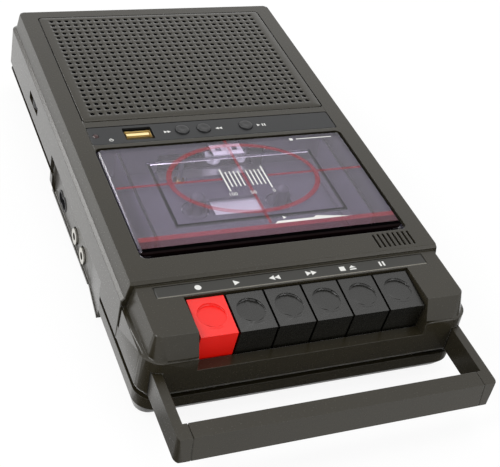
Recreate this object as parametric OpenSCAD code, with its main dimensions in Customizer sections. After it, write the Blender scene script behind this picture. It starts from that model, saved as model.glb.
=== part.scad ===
// Shoebox cassette recorder: clear door over the cassette well, six piano keys, pull-out handle.
// X to the right, Y to the back, Z up. The origin is the middle of the base, with the handle pulled out.

/* [Case] */
// Width of the case at the line where its halves meet
case_w = 150; // [150:1:158]
// Depth of the case from front wall to back wall
case_d = 250; // [249:1:258]
// Height of the deck above the table
deck_h = 47; // [47:0.5:50]
// Thickness of the moulded walls
wall = 2.2; // [2:0.1:2.3]
// Height of the top half's lower edge
parting_z = 15.2; // [15:0.1:15.4]
// Dark groove between the halves
parting_gap = 1.6; // [1.2:0.1:1.8]
// Radius of the front corners
corner_r = 9; // [8:0.5:10]
// Radius of the back corners
back_r = 5; // [3:0.5:6]
// Inward lean of the upper side walls
wall_draft = 0.3; // [0.2:0.1:0.5]
// Width of the ledge round the deck
deck_ledge = 1.4; // [1:0.1:1.6]
// Fall of that ledge
deck_ledge_h = 1.5; // [1:0.1:2]
// Run of the steep faces between ledge and deck
deck_slope = 1.8; // [1.4:0.1:2.2]
// Height of those faces
deck_bevel_h = 8; // [7:0.1:9]
// Chamfer on the deck's front nose
nose_chamfer = 1.2; // [0.6:0.1:1.5]
// Length of the lower key block in front of the deck
front_l = 34.1; // [33.5:0.1:35]
// Drop from the deck to the key block
step_drop = 2.1; // [1.6:0.1:2.6]
// Distance from the case's sides to the key block's flat top
block_slope = 5.2; // [4.5:0.1:5.8]
// Height of the key block's sloped faces
block_slope_h = 10.5; // [10:0.1:11]
// Ledge below the sloped faces at the sides
block_ledge = 2.4; // [1.6:0.1:2.6]
// Ledge below the sloped face at the front
rim_ledge = 0.7; // [0.4:0.1:1]
// Height of the rubber feet
foot_h = 1.8; // [1.5:0.1:2]
// Radius of the rubber feet
foot_r = 4; // [3:0.5:4.5]
// Thickness of the floor
floor_t = 2; // [1.8:0.1:2.2]
// Set-back of the bottom half from the top half
lip_set = 0.5; // [0.3:0.1:0.8]
// Run of the undercut along the rear sides
hull_side = 10; // [9.5:0.5:11]
// Run of the undercut along the back
hull_back = 5; // [4:0.5:5.5]
// Run of the undercut below the front
hull_front = 4.5; // [3:0.5:5.5]
// Distance from the front wall to where the undercut sides begin
bump_l = 152.8; // [150:1:155]

/* [Speaker] */
// Width of the grille panel
grille_w = 125.2; // [124:0.2:127]
// Length of the grille panel
grille_l = 94.8; // [93:0.2:96]
// Thickness of the grille panel
grille_t = 1.6; // [1.4:0.1:1.8]
// Depth of its seat in the deck
grille_seat = 1.4; // [1.2:0.1:1.5]
// Groove round the grille panel
grille_groove = 0.6; // [0.4:0.1:0.8]
// Distance from the deck's back edge to the grille panel
grille_margin = 6.6; // [6:0.1:7]
// Spacing of the holes
hole_pitch = 4.05; // [3.9:0.05:4.1]
// Diameter of the holes
hole_d = 1.95; // [1.6:0.05:2.4]
// Holes across
hole_nx = 29; // [25:2:29]
// Rows of holes
hole_ny = 22; // [18:1:22]
// Backward shift of the hole field on its panel
hole_shift = 0.8; // [0:0.1:1]
// Thickness of the dust cloth
cloth_t = 0.3; // [0.2:0.1:0.5]
// Radius of the speaker's rim
speaker_r = 33; // [31:0.5:34]
// Sideways place of the speaker
speaker_x = -27.5; // [-28.5:0.5:-27]
// Radius of the speaker's magnet
magnet_r = 20; // [17:0.5:21]
// Height of the speaker's magnet
magnet_h = 9; // [7:0.5:10]
// Depth of the speaker's cone basket
basket_h = 17.5; // [16:0.5:18]

/* [Control panel] */
// Width of the control panel
panel_w = 125.6; // [124.6:0.2:126.6]
// Length of the control panel
panel_l = 13.7; // [13.3:0.1:14.2]
// Thickness of the control panel
panel_t = 1.2; // [1:0.1:1.3]
// Distance from the grille panel to the control panel
panel_gap = 4.9; // [4.5:0.1:5.3]
// Diameter of the round buttons
button_d = 6.7; // [6:0.1:7]
// Height of the buttons above the panel
button_proud = 1; // [0.6:0.1:1.2]
// Travel of the buttons
button_travel = 0.5; // [0.3:0.1:0.5]
// Sideways place of the forward button
forward_x = -17.2; // [-18:0.1:-16.4]
// Sideways place of the rewind button
rewind_x = -6.1; // [-6.6:0.1:-5.4]
// Sideways place of the play button
play_x = 15.8; // [15:0.1:16.4]
// Sideways place of the USB socket
usb_x = -39; // [-40:0.5:-38]
// Sideways place of the power light
led_x = -59.7; // [-60:0.1:-58]

/* [Door] */
// Width of the cassette door
door_w = 124.4; // [123.6:0.2:125]
// Length of the cassette door
door_l = 72.3; // [72:0.1:72.8]
// Thickness of the door's plate
door_t = 2.2; // [2:0.1:2.4]
// Distance from the control panel to the door
door_gap = 3.1; // [2.8:0.1:3.4]
// Gap along the door's sides
door_side_gap = 0.9; // [0.6:0.1:1.2]
// Gap along the door's rear edge
door_rear_gap = 0.6; // [0.4:0.1:0.8]
// Dark recess in front of the door
door_recess = 3.6; // [3.4:0.1:4]
// Radius of the door's hinge pins
hinge_r = 1.2; // [1:0.1:1.4]
// Depth of the cassette well below the deck's underside
well_depth = 17.6; // [17.2:0.1:18]
// Thickness of the well's walls
well_wall = 1.6; // [1.4:0.1:1.8]
// Width that a cassette takes between the guide rails
rail_w = 103.2; // [102:0.2:104]
// Height that a cassette takes under the door
rail_h = 13.3; // [12.8:0.1:13.4]

/* [Keys] */
// Spacing of the piano keys
key_pitch = 17.1; // [16.8:0.1:17.2]
// Gap between the keys
key_gap = 1; // [0.8:0.1:1.4]
// Length of the key tops
key_l = 19.6; // [19:0.1:20]
// Distance from the front wall to the keys' front faces
key_setback = 4.8; // [4.5:0.1:5.2]
// Drop of the key tops below the key block, at their rear edge
key_drop = 1.1; // [0.8:0.1:1.5]
// Fall of the key tops from rear to front
key_fall = 2.1; // [1.8:0.1:2.4]
// Diameter of the thumb scoops
scoop_d = 12.3; // [11:0.1:13]
// Height of the apron ledge in front of the keys
ledge_z = 28.2; // [27.5:0.1:28.6]
// Radius of the key shaft
key_shaft_r = 1.5; // [1.3:0.1:1.7]
// Length of the label strip
strip_l = 6.5; // [6:0.1:6.8]
// Width of the label strip
strip_w = 125.2; // [124:0.2:127]

/* [Handle] */
// How far the handle stands out in front of the case
handle_reach = 34; // [33:1:38]
// Depth of the grip bar, front to back
grip_d = 9; // [8:0.5:9.5]
// Height of the grip bar and arms
grip_h = 12.7; // [12.3:0.1:12.8]
// Height of the arms' underside
arm_z = 16.2; // [16.1:0.1:16.4]
// Thickness of the arms
arm_t = 4; // [3.6:0.1:4.2]
// Distance of the arms' outer faces from the case's sides
arm_inset = 4.5; // [4.4:0.1:4.8]
// Length of the arms inside the case
arm_inside = 30; // [28:1:32]

/* [Transport] */
// Spacing of the two reel spindles
spindle_gap = 42.5; // [42:0.5:43]
// Distance from the door's rear edge to the spindles
spindle_back = 29.4; // [29:0.1:29.8]
// Height of the spindles above the chassis
spindle_h = 12.1; // [11:0.1:12.5]
// Radius of the spindle shafts
shaft_r = 1.5; // [1.3:0.1:1.6]
// Radius of the reel discs below the chassis
reel_r = 10; // [9:0.5:10]
// Thickness of the chassis plate
chassis_t = 1.2; // [1:0.1:1.4]
// Radius of the capstan
capstan_r = 1.25; // [1:0.05:1.3]
// Radius of the flywheel
flywheel_r = 17; // [16:0.5:17.5]
// Radius of the motor
motor_r = 16; // [14:0.5:16]
// Height of the motor
motor_h = 12.5; // [11:0.5:12.5]
// Radius of the motor pulley
pulley_r = 4; // [3.5:0.25:4.5]
// Thickness of the belts
belt_t = 1; // [0.8:0.1:1.2]
// Slide of the head plate
head_travel = 5; // [4.5:0.1:5]
// Radius of the pinch roller
roller_r = 6; // [5.5:0.1:6]

/* [Sockets and power] */
// Set-back of the socket recess in the left wall
recess_d = 2.1; // [2:0.1:2.4]
// Length of that recess
recess_l = 89; // [84:1:90]
// Height of the recess's upper edge in the top half
recess_top = 24.3; // [23:0.1:25]
// Bore radius of the two jacks
jack_r = 1.8; // [1.76:0.02:1.86]
// Radius of the volume wheel
wheel_r = 11; // [10:0.5:11.5]
// Diameter of one battery cell
cell_d = 26.5; // [26.2:0.1:26.7]
// Length of two battery cells with their contacts
cell_run = 104; // [102:0.5:104.5]

/* [Hidden] */
$fn = 48;
hull_fn = 32;
skin = 0.05;
clear_of = 0.1;
run_fit = 0.05;
fit = 0.3;
through = 1;

body_color = [0.28, 0.27, 0.24];
key_color = [0.16, 0.16, 0.15];
red = [0.9, 0.14, 0.1];
black = [0.08, 0.08, 0.08];
steel = [0.75, 0.76, 0.78];
brass = [0.78, 0.62, 0.3];
board_color = [0.16, 0.32, 0.2];

// Main lines of the case
half_w = case_w / 2;
y_back = (case_d + handle_reach) / 2;
y_front = y_back - case_d;
deck_in = deck_h - wall;
shoulder_z = deck_h - deck_bevel_h;
ledge_top = shoulder_z - deck_ledge_h;
deck_inset = wall_draft + deck_ledge + deck_slope;
deck_half = half_w - deck_inset;
deck_y = y_back - deck_inset;
step_y = y_front + front_l;
block_h = deck_h - step_drop;
block_in = block_h - wall;
rim_z = block_h - block_slope_h;
base_z = foot_h;
floor_z = base_z + floor_t;
bottom_half = half_w - lip_set;
bottom_top = parting_z - parting_gap;
bump_y = y_front + bump_l;
front_round_h = 6;

// Deck layout, back to front
grille_y1 = deck_y - grille_margin;
grille_y0 = grille_y1 - grille_l;
grille_y = (grille_y0 + grille_y1) / 2;
hole_y = grille_y + hole_shift;
window_edge = 2;
window_x = (hole_nx - 1) / 2 * hole_pitch + window_edge;
window_y = (hole_ny - 1) / 2 * hole_pitch + window_edge;
panel_y1 = grille_y0 - panel_gap;
panel_y0 = panel_y1 - panel_l;
panel_y = (panel_y0 + panel_y1) / 2;
panel_ledge = 1.6;
button_x = [forward_x, rewind_x, play_x];
door_y1 = panel_y0 - door_gap;
door_y0 = door_y1 - door_l;
well_x = door_w / 2 + door_side_gap;
well_y1 = door_y1 + door_rear_gap;
well_y0 = door_y0 - door_recess;
well_corner_r = 3;

// Keys and label strip, from the front wall
key_y0 = y_front + key_setback;
key_y1 = key_y0 + key_l;
key_room = 0.8;
key_front_room = 0.9;
key_undercut = 1.6;
key_open_x = 3 * key_pitch + 0.6;
strip_t = 0.6;
strip_seat = 0.5;
strip_y1 = step_y - 1.6;
strip_y0 = strip_y1 - strip_l;

// Transport, hung from the deck
chassis_top = deck_in - well_depth;
chassis_z = chassis_top - chassis_t;
chassis_x = well_x - well_wall;
well_floor_t = 1.8;
well_floor = chassis_top + well_floor_t;
hub_y = door_y1 - spindle_back;
hub_x = spindle_gap / 2;
capstan_x = -hub_x - 0.25;
capstan_y = hub_y + 23.5;
head_y = well_y1 + 2.4;
pivot_y = step_y + 4;
pivot_z = chassis_top + 4.3;
hinge_y = door_y0 + 1.9;
hinge_z = deck_h - door_t - 2.4;
motor_x = hub_x + 19.75;
motor_y = hub_y - 22;
belt_h = 3;
fly_z1 = chassis_z - 3.4;
fly_z0 = fly_z1 - 4.6;
small_pulley_r = 6;
low_z1 = fly_z0 - 2.5;
low_z0 = low_z1 - 4;
thrust_z = low_z0 - 2.1;
bracket_t = 1.2;
post_r = 2;
bracket_posts = [[capstan_x - 21, capstan_y + 8], [capstan_x + 14, capstan_y + 17.5]];
transport_screw_y = [hub_y - 32, hub_y + 22];
transport_screw_x = well_x - 4.6;

// Sockets, power and fixings
recess_x = bottom_half - recess_d;
recess_y1 = bump_y - 4;
recess_y0 = recess_y1 - recess_l;
recess_ramp = 21;
recess_ledge = 2.2;
jack_z = foot_h + 7.1;
jack_y = [recess_y1 - 40.6, recess_y1 - 54.3];
inlet_y = recess_y1 - 15;
inlet_z = foot_h + 7.6;
inlet_r = 3.7;
inlet_lobe = 2.8;
inlet_pin = 4.3;
board_t = 1.5;
board_z = jack_z - 3 - board_t;
wheel_y = y_back - 58.4;
wheel_z = deck_h - 20.1;
wheel_t = 3;
wheel_x = -(half_w - 0.1 - wheel_r);
bay_x0 = speaker_x + speaker_r + 3;
bay_x1 = bay_x0 + 2 * cell_d + 2;
bay_y0 = y_back - hull_back - wall - 0.3 - cell_run;
bay_y1 = bay_y0 + cell_run;
bay_wall = 1.6;
bay_h = cell_d + 0.3;
cover_y0 = bay_y0 + 3;
cover_y1 = bay_y1 - 8;
cover_x0 = bay_x0 + 1.7;
cover_x1 = bay_x1 - 1.7;
cover_rebate = 1.2;
cover_lip = 1.8;
screw_r = 1.25;
screw_head_r = 2.8;
boss_r = 3;
boss_foot_r = 4.6;
bore_depth = 5.2;
boss_z = bottom_top + 0.4;
rib_top = ledge_top - 1;
case_screw_at = [[-58.5, y_front + 15], [58.5, y_front + 15], [well_x + 5.3, well_y1 + 4],
    [-58, y_back - 16], [2, y_back - 16], [-60, bump_y + 15]];
side_slit_z = 24;
foot_at = [[-66, y_front + 13], [66, y_front + 13], [-50, y_back - hull_back - 5.2],
    [50, y_back - hull_back - 5.2]];
foot_seat = 0.8;
arm_x1 = half_w - arm_inset;
arm_x0 = arm_x1 - arm_t;
arm_z1 = arm_z + grip_h;
arm_end = y_front + arm_inside;
hook_l = 3;
handle_y0 = y_front - handle_reach;
handle_y1 = handle_y0 + grip_d;
grip_x = arm_x1 - 6.1;
guide_t = 1.6;

// Solids used by many pieces

// Box between two corners
module box(x0, x1, y0, y1, z0, z1) {
    translate([x0, y0, z0]) cube([x1 - x0, y1 - y0, z1 - z0]);
}

// Upright round bar between two heights
module post(x, y, r, z0, z1) {
    translate([x, y, z0]) cylinder(r = r, h = z1 - z0);
}

// Round bar along X
module bar_x(x0, x1, y, z, r) {
    translate([x0, y, z]) rotate([0, 90, 0]) cylinder(r = r, h = x1 - x0);
}

// Flat plate with round corners
module plate(x0, x1, y0, y1, z0, z1, r) {
    translate([0, 0, z0]) linear_extrude(z1 - z0) {
        translate([x0 + r, y0]) square([x1 - x0 - 2 * r, y1 - y0]);
        translate([x0, y0 + r]) square([x1 - x0, y1 - y0 - 2 * r]);
        for (x = [x0 + r, x1 - r], y = [y0 + r, y1 - r]) translate([x, y]) circle(r);
    }
}

// Profile drawn as [y, z] points, run along X
module run_x(x0, x1, points) {
    translate([x0, 0, 0]) rotate([90, 0, 90]) linear_extrude(x1 - x0) polygon(points);
}

// Convex shell through layers of [height, half width, front y, back y, front radius, back radius]
module loft(layers) {
    hull() for (l = layers, s = [-1, 1]) {
        translate([s * (l[1] - l[4]), l[2] + l[4], l[0]]) cylinder(r = l[4], h = skin, $fn = hull_fn);
        translate([s * (l[1] - l[5]), l[3] - l[5], l[0]]) cylinder(r = l[5], h = skin, $fn = hull_fn);
    }
}

// Same thing on both sides of the case
module both_sides() {
    children();
    mirror([1, 0, 0]) children();
}

// Case halves

edge_r = 0.6;
chamfer_h = 2.4;

// Side and back walls of the deck up to the ledge round it
module deck_wall() {
    front = step_y;
    loft([[parting_z, half_w - lip_set, front, y_back - lip_set, edge_r, back_r],
        [parting_z + chamfer_h, half_w, front, y_back, edge_r, back_r],
        [ledge_top, half_w - wall_draft, front, y_back - wall_draft, edge_r, back_r],
        [shoulder_z - skin, half_w - wall_draft - deck_ledge, front, y_back - wall_draft - deck_ledge,
            edge_r, back_r]]);
}

// Raised deck above the ledge
module deck_top() {
    front = step_y;
    foot_in = wall_draft + deck_ledge + clear_of;
    lean = deck_slope * nose_chamfer / deck_bevel_h;
    loft([[ledge_top - 2, half_w - foot_in, front, y_back - foot_in, edge_r, back_r],
        [shoulder_z, half_w - foot_in, front, y_back - foot_in, edge_r, back_r],
        [deck_h - nose_chamfer, deck_half + lean, front, deck_y + lean, edge_r, 2.5],
        [deck_h - skin, deck_half, front + nose_chamfer, deck_y, edge_r, 2.5]]);
}

// Hollow below the deck
module deck_hollow() {
    front = step_y + wall;
    loft([[parting_z - 1, half_w - wall, front, y_back - wall, edge_r, back_r],
        [ledge_top - 1.5, half_w - wall_draft - wall, front, y_back - wall_draft - wall, edge_r, back_r],
        [deck_in - skin, deck_half - wall, front, deck_y - wall, edge_r, 2]]);
}

// Key block up to the ledge round it
module block_wall() {
    loft([[parting_z, half_w - 0.2 - lip_set, y_front + lip_set, step_y + 6, corner_r, edge_r],
        [parting_z + chamfer_h, half_w - 0.2, y_front, step_y + 6, corner_r, edge_r],
        [rim_z - skin, half_w - 0.7, y_front + 0.3, step_y + 6, corner_r, edge_r]]);
}

// Sloped faces and flat top of the key block
module block_top() {
    side = half_w - 0.7 - block_ledge;
    low = y_front + 0.3 + rim_ledge;
    loft([[rim_z - 3, side, low, step_y + 5, corner_r - 2, edge_r],
        [rim_z + 1, side, low, step_y + 5, corner_r - 2, edge_r],
        [block_h - skin, half_w - block_slope, y_front + block_slope, step_y + 5, 2.5, edge_r]]);
}

// Hollow below the key block
module block_hollow() {
    loft([[parting_z - 1, half_w - 0.5 - wall, y_front + wall, step_y + 8, corner_r - wall, edge_r],
        [rim_z - 3.4, half_w - 0.8 - wall, y_front + 0.3 + wall, step_y + 8, corner_r - wall, edge_r],
        [block_in - skin, half_w - block_slope - wall, y_front + block_slope + wall, step_y + 8, 2,
            edge_r]]);
}

// Locating tongues behind the groove between the halves
module parting_tongues() {
    out = bottom_half - wall - fit;
    in = out - 1.2;
    low = parting_z - 2.6;
    from = y_front + 16;
    box(in, out, from, well_y1 - 2, low, parting_z + 1.4);
    box(in, half_w - wall / 2, from, well_y1 - 2, parting_z + 0.2, parting_z + 1.4);
    box(-out, -in, from, recess_y0 - wall - 1, low, parting_z + 1.4);
    box(-half_w + wall / 2, -in, from, recess_y0 - wall - 1, parting_z + 0.2, parting_z + 1.4);
    front = y_front + lip_set + wall + fit;
    box(-52, 52, front, front + 1.2, low, parting_z + 1.4);
    box(-52, 52, y_front + wall / 2, front + 1.2, parting_z + 0.2, parting_z + 1.4);
}

// Shelf and cheeks that close the key opening
module key_cheeks() {
    rear = key_y1 + key_room + 0.5;
    both_sides() run_x(key_open_x - 0.3, key_open_x + wall,
        [[y_front + 1, ledge_z - 4], [y_front + 1, rim_z - 0.5],
        [y_front + block_slope + 0.5, block_in + 0.5], [rear, block_in + 0.5], [rear, ledge_z - 4]]);
    box(-key_open_x - wall, key_open_x + wall, y_front + 0.5, key_y0 + key_undercut - key_front_room,
        ledge_z - 2, ledge_z);
}

// Openings cut through the top case
module top_openings() {
    plate(-grille_w / 2 - grille_groove, grille_w / 2 + grille_groove, grille_y0 - grille_groove,
        grille_y1 + grille_groove, deck_h - grille_seat, deck_h + through, 2);
    plate(-window_x, window_x, hole_y - window_y, hole_y + window_y, deck_in - through, deck_h + through,
        1);
    plate(-panel_w / 2 - 0.15, panel_w / 2 + 0.15, panel_y0 - 0.15, panel_y1 + 0.15, deck_h - panel_t,
        deck_h + through, 1);
    plate(-panel_w / 2 + panel_ledge, panel_w / 2 - panel_ledge, panel_y0 + panel_ledge,
        panel_y1 - panel_ledge,
        deck_in - through, deck_h, 1);
    plate(-well_x, well_x, well_y0, well_y1, deck_in - through, deck_h + through, well_corner_r);
    vent_slots();
    box(-key_open_x, key_open_x, y_front - through, key_y1 + key_room, ledge_z, deck_h);
    box(-strip_w / 2 - 0.15, strip_w / 2 + 0.15, strip_y0 - 0.15, strip_y1 + 0.15, block_h - strip_seat,
        deck_h);
    both_sides() box(arm_x0 - 0.4, arm_x1 + 0.4, y_front - through, y_front + corner_r, arm_z - 0.4,
        arm_z1 + 0.4);
    box(-half_w - through, -half_w + 4, recess_y0 + 0.2, recess_y1 + wall + 0.1, parting_z - through,
        recess_top);
    box(-half_w - through, -half_w + 6, wheel_y - 8.6, wheel_y + 8.6, wheel_z - 2.3, wheel_z + 2.3);
}

// Slots over the built-in microphone
vent_n = 8;
vent_pitch = 2.5;
vent_w = 1.2;
vent_x1 = 62.2;
vent_l = 9;
module vent_slots() {
    for (i = [0 : vent_n - 1]) {
        x = vent_x1 - i * vent_pitch;
        box(x - vent_w, x, step_y + 3, step_y + 3 + vent_l, deck_in - through, deck_h + through);
    }
}

// Posts under the deck that carry the USB board
board_posts = [[-50, panel_y1 - 0.5], [-9, panel_y1 - 0.5], [24, panel_y1 - 0.5], [-50, panel_y0 + 0.5],
    [24, panel_y0 + 0.5]];
board_post_r = 1;
usb_board_top = deck_h - 6.6;

module top_case() {
    color(body_color) difference() {
        union() {
            difference() {
                union() {
                    deck_wall();
                    deck_top();
                    block_wall();
                    block_top();
                }
                deck_hollow();
                block_hollow();
            }
            parting_tongues();
            key_cheeks();
            for (i = [0 : 4]) post(case_screw_at[i][0], case_screw_at[i][1], boss_r, boss_z,
                i < 2 ? block_in + 0.5 : i < 3 ? deck_in + 0.5 : rib_top);
            post(case_screw_at[5][0], case_screw_at[5][1], boss_r, boss_z, rib_top);
            boss_ribs();
            for (p = board_posts) post(p[0], p[1], board_post_r, usb_board_top, deck_in + 0.5);
            both_sides() box(arm_x1 + 0.5, half_w - 1.6, arm_end - 5.4, arm_end - 2.9, arm_z + 0.8,
                arm_z1 - 0.8);
        }
        top_openings();
        for (s = case_screw_at) post(s[0], s[1], screw_r + run_fit, boss_z - through, boss_z + 11);
        both_sides() box(half_w - 1.7, half_w + through, step_y - 1.4, step_y + clear_of, side_slit_z,
            rim_z + 0.4);
    }
}

// Ribs that tie the rear screw bosses to the walls below the dust cloth
module boss_ribs() {
    for (i = [3, 5]) {
        s = case_screw_at[i];
        box(-half_w + 1.6, s[0], s[1] - 1, s[1] + 1, parting_z + 0.5, rib_top);
    }
    s = case_screw_at[4];
    box(s[0] - 1, s[0] + 1, s[1], y_back - 1.6, parting_z + 0.5, rib_top);
}

// Bottom half before its rear is undercut, drawn in by o for its hollow
module bottom_form(o) {
    z0 = o > 0 ? floor_z : base_z;
    top = o > 0 ? parting_z : bottom_top - skin;
    back = y_back - lip_set - o;
    loft([[z0, bottom_half - 2 - o, y_front + hull_front + o, back, corner_r - 3, back_r],
        [base_z + front_round_h, bottom_half - o, y_front + lip_set + o, back, corner_r - o, back_r],
        [top, bottom_half - o, y_front + lip_set + o, back, corner_r - o, back_r]]);
}

// Wedges that undercut the rear sides and the back, drawn in by o
module undercut(o) {
    rise = bottom_top - base_z;
    side_run = (hull_side - lip_set) * 2 / rise;
    back_run = (hull_back - lip_set) * 2 / rise;
    both_sides() translate([0, y_back + 2, 0]) rotate([90, 0, 0]) linear_extrude(y_back + 2 - bump_y + o)
        polygon([[half_w - hull_side - o - side_run, base_z - 2],
            [bottom_half - o + side_run, bottom_top + 2],
            [half_w + 4, bottom_top + 2], [half_w + 4, base_z - 2]]);
    run_x(-half_w - 1, half_w + 1, [[y_back - hull_back - o - back_run, base_z - 2],
        [y_back - lip_set - o + back_run, bottom_top + 2], [y_back + 4, bottom_top + 2],
            [y_back + 4, base_z - 2]]);
}

// Outline of the socket recess, seen from above, drawn in by o
module recess_outline(o) {
    polygon([[-half_w - 2, recess_y0 - o], [-bottom_half, recess_y0 - o],
        [-recess_x + o, recess_y0 + recess_ramp - o],
        [-recess_x + o, recess_y1 + o], [-half_w - 2, recess_y1 + o]]);
}

// Upright panel that carries the sockets, up to the recess's edge in the top half
module socket_panel() {
    y1 = recess_y0 + recess_ramp + 1.5;
    z1 = recess_top - fit;
    box(-recess_x - 1, -recess_x + wall - 0.2, y1 - 0.5, recess_y1 + wall - 0.2, base_z + 1, z1);
    translate([0, 0, base_z + 1]) linear_extrude(z1 - base_z - 1)
        polygon([[-bottom_half - 0.5, recess_y0 + 0.5], [-bottom_half + wall - 0.4, recess_y0 + 0.5],
            [-recess_x + wall - 0.4, y1], [-recess_x - 0.5, y1]]);
}

// Walls of the battery bay
module battery_bay() {
    difference() {
        box(bay_x0 - bay_wall, bay_x1 + bay_wall, bay_y0 - bay_wall, bay_y1 + bay_wall, base_z + 1,
            floor_z + bay_h + bay_wall);
        box(bay_x0, bay_x1, bay_y0, bay_y1, floor_z, floor_z + bay_h);
    }
}

// Channel in which a handle arm slides
module arm_guide() {
    guide_y1 = y_front + arm_inside + 27;
    box(arm_x0 - fit - guide_t, arm_x0 - fit, y_front + 5, guide_y1, base_z + 1, chassis_top - 0.8);
    box(arm_x0 - fit - guide_t, arm_x1 - 0.2, y_front + 5, guide_y1, arm_z - fit - guide_t, arm_z - fit);
}

wheel_post_z = wheel_z - 9.4;
module bottom_case() {
    color(body_color) difference() {
        union() {
            difference() {
                bottom_form(0);
                undercut(0);
                difference() {
                    bottom_form(wall);
                    undercut(wall);
                    translate([0, 0, base_z]) linear_extrude(parting_z) recess_outline(wall);
                }
            }
            socket_panel();
            battery_bay();
            both_sides() arm_guide();
            for (s = case_screw_at) {
                post(s[0], s[1], boss_foot_r, base_z + 1, base_z + bore_depth + 2);
                post(s[0], s[1], boss_r, base_z + bore_depth, boss_z);
            }
            post(wheel_x + 3, wheel_y, 4, base_z + 1, wheel_post_z);
            for (x = [-62, 4], y = [recess_y1 - 86, recess_y1 - 36]) post(x, y, 2.5, base_z + 1, board_z);
            box(transformer_x0, transformer_x1, transformer_y0, transformer_y1, base_z + 1, transformer_z0);
        }
        translate([0, 0, base_z + recess_ledge]) linear_extrude(recess_top) recess_outline(0);
        for (y = jack_y) {
            bar_x(-half_w, -recess_x + wall + through, y, jack_z, jack_collar_r + run_fit);
            bar_x(-half_w, -recess_x + jack_ring_d, y, jack_z, jack_collar_r + jack_ring);
        }
        for (s = [-1, 1]) bar_x(-half_w, -recess_x + wall + through, inlet_y + s * inlet_lobe, inlet_z,
            inlet_r + run_fit);
        for (s = case_screw_at) {
            post(s[0], s[1], screw_head_r + 0.3, base_z - through, base_z + bore_depth);
            post(s[0], s[1], screw_r + 0.3, base_z, boss_z + through);
        }
        for (f = foot_at) post(f[0], f[1], foot_r + run_fit, base_z - through, base_z + foot_seat);
        plate(cover_x0, cover_x1, cover_y0, cover_y1, base_z - through, base_z + cover_rebate, 2);
        plate(cover_x0 + cover_lip, cover_x1 - cover_lip, cover_y0 + cover_lip, cover_y1 - cover_lip,
            base_z - through,
            floor_z + through, 2);
    }
}

// Speaker end

module speaker_grille() {
    color(body_color) difference() {
        plate(-grille_w / 2, grille_w / 2, grille_y0, grille_y1, deck_h - grille_seat,
            deck_h - grille_seat + grille_t, 1.5);
        for (i = [0 : hole_nx - 1], j = [0 : hole_ny - 1]) {
            x = (i - (hole_nx - 1) / 2) * hole_pitch;
            y = hole_y + (j - (hole_ny - 1) / 2) * hole_pitch;
            post(x, y, hole_d / 2, deck_h - grille_seat - through, deck_h + through);
        }
    }
}

module dust_cloth() {
    hem = 1.6;
    color(black) plate(-window_x - hem, window_x + hem, hole_y - window_y - hem, hole_y + window_y + hem,
        deck_in - cloth_t, deck_in, 1);
}

rim_z1 = deck_in - cloth_t;
rim_t = 1.2;
basket_z = rim_z1 - basket_h;
module speaker_basket() {
    back_r2 = magnet_r - 2;
    color(steel) translate([speaker_x, grille_y, 0]) difference() {
        rotate_extrude() polygon([[5, basket_z], [back_r2, basket_z], [speaker_r - 3, rim_z1 - rim_t],
            [speaker_r, rim_z1 - rim_t], [speaker_r, rim_z1], [speaker_r - 3.5, rim_z1],
            [back_r2 - 1.2, basket_z + 1.2], [5, basket_z + 1.2]]);
        for (a = [45 : 90 : 315]) rotate(a) translate([magnet_r - 2, -6, basket_z + 4])
            cube([speaker_r, 12, basket_h - 8]);
    }
}

module speaker_cone() {
    outer = speaker_r - 4.5;
    color(black) translate([speaker_x, grille_y, 0]) rotate_extrude()
        polygon([[0, basket_z + 5.4], [7, basket_z + 5.4],
        [outer - 3, rim_z1 - 1.6], [outer - 1.5, rim_z1 - 0.4], [outer, rim_z1 - 0.4], [outer, rim_z1 - 1],
        [outer - 1.2, rim_z1 - 1], [outer - 2.8, rim_z1 - 2.3], [7, basket_z + 4.6], [7, basket_z + 1.3],
        [6, basket_z + 1.3], [6, basket_z + 4.6], [0, basket_z + 4.6]]);
}

module speaker_magnet() {
    color(black) translate([speaker_x, grille_y, 0]) rotate_extrude() polygon([[0, basket_z - magnet_h],
        [magnet_r - 1, basket_z - magnet_h], [magnet_r, basket_z - magnet_h + 1], [magnet_r, basket_z],
        [4.6, basket_z], [4.6, basket_z + 2.4], [0, basket_z + 2.4]]);
}

// Control panel

button_hole_r = button_d / 2 + 0.2;
usb_w = 13.1;
usb_t = 5.7;
usb_open_w = 14.2;
usb_open_l = 9.4;
led_r = 1.5;
module control_panel() {
    z0 = deck_h - panel_t;
    color([0.2, 0.21, 0.23]) difference() {
        plate(-panel_w / 2, panel_w / 2, panel_y0, panel_y1, z0, deck_h, 0.9);
        for (x = button_x) post(x, panel_y, button_hole_r, z0 - through, deck_h + through);
        post(led_x, panel_y, led_r + run_fit, z0 - through, deck_h + through);
        plate(usb_x - usb_open_w / 2, usb_x + usb_open_w / 2, panel_y - usb_open_l / 2,
            panel_y + usb_open_l / 2,
            z0 - through, deck_h + through, 0.8);
    }
}

usb_board_t = 1.2;
switch_h = 2.6;
switch_w = 6;
module usb_board() {
    z0 = usb_board_top - usb_board_t;
    color(board_color) difference() {
        union() {
            box(led_x - 2, board_posts[2][0] + 3, panel_y0 - 0.9, panel_y1 + 1.8, z0, usb_board_top);
            for (x = button_x) box(x - switch_w / 2, x + switch_w / 2, panel_y - switch_w / 2,
                panel_y + switch_w / 2,
                usb_board_top, usb_board_top + switch_h);
        }
        box(usb_x - usb_w / 2 - run_fit, usb_x + usb_w / 2 + run_fit, panel_y - usb_t / 2 - run_fit,
            panel_y + usb_t / 2 + run_fit, z0 - through, usb_board_top + through);
    }
}

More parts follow.
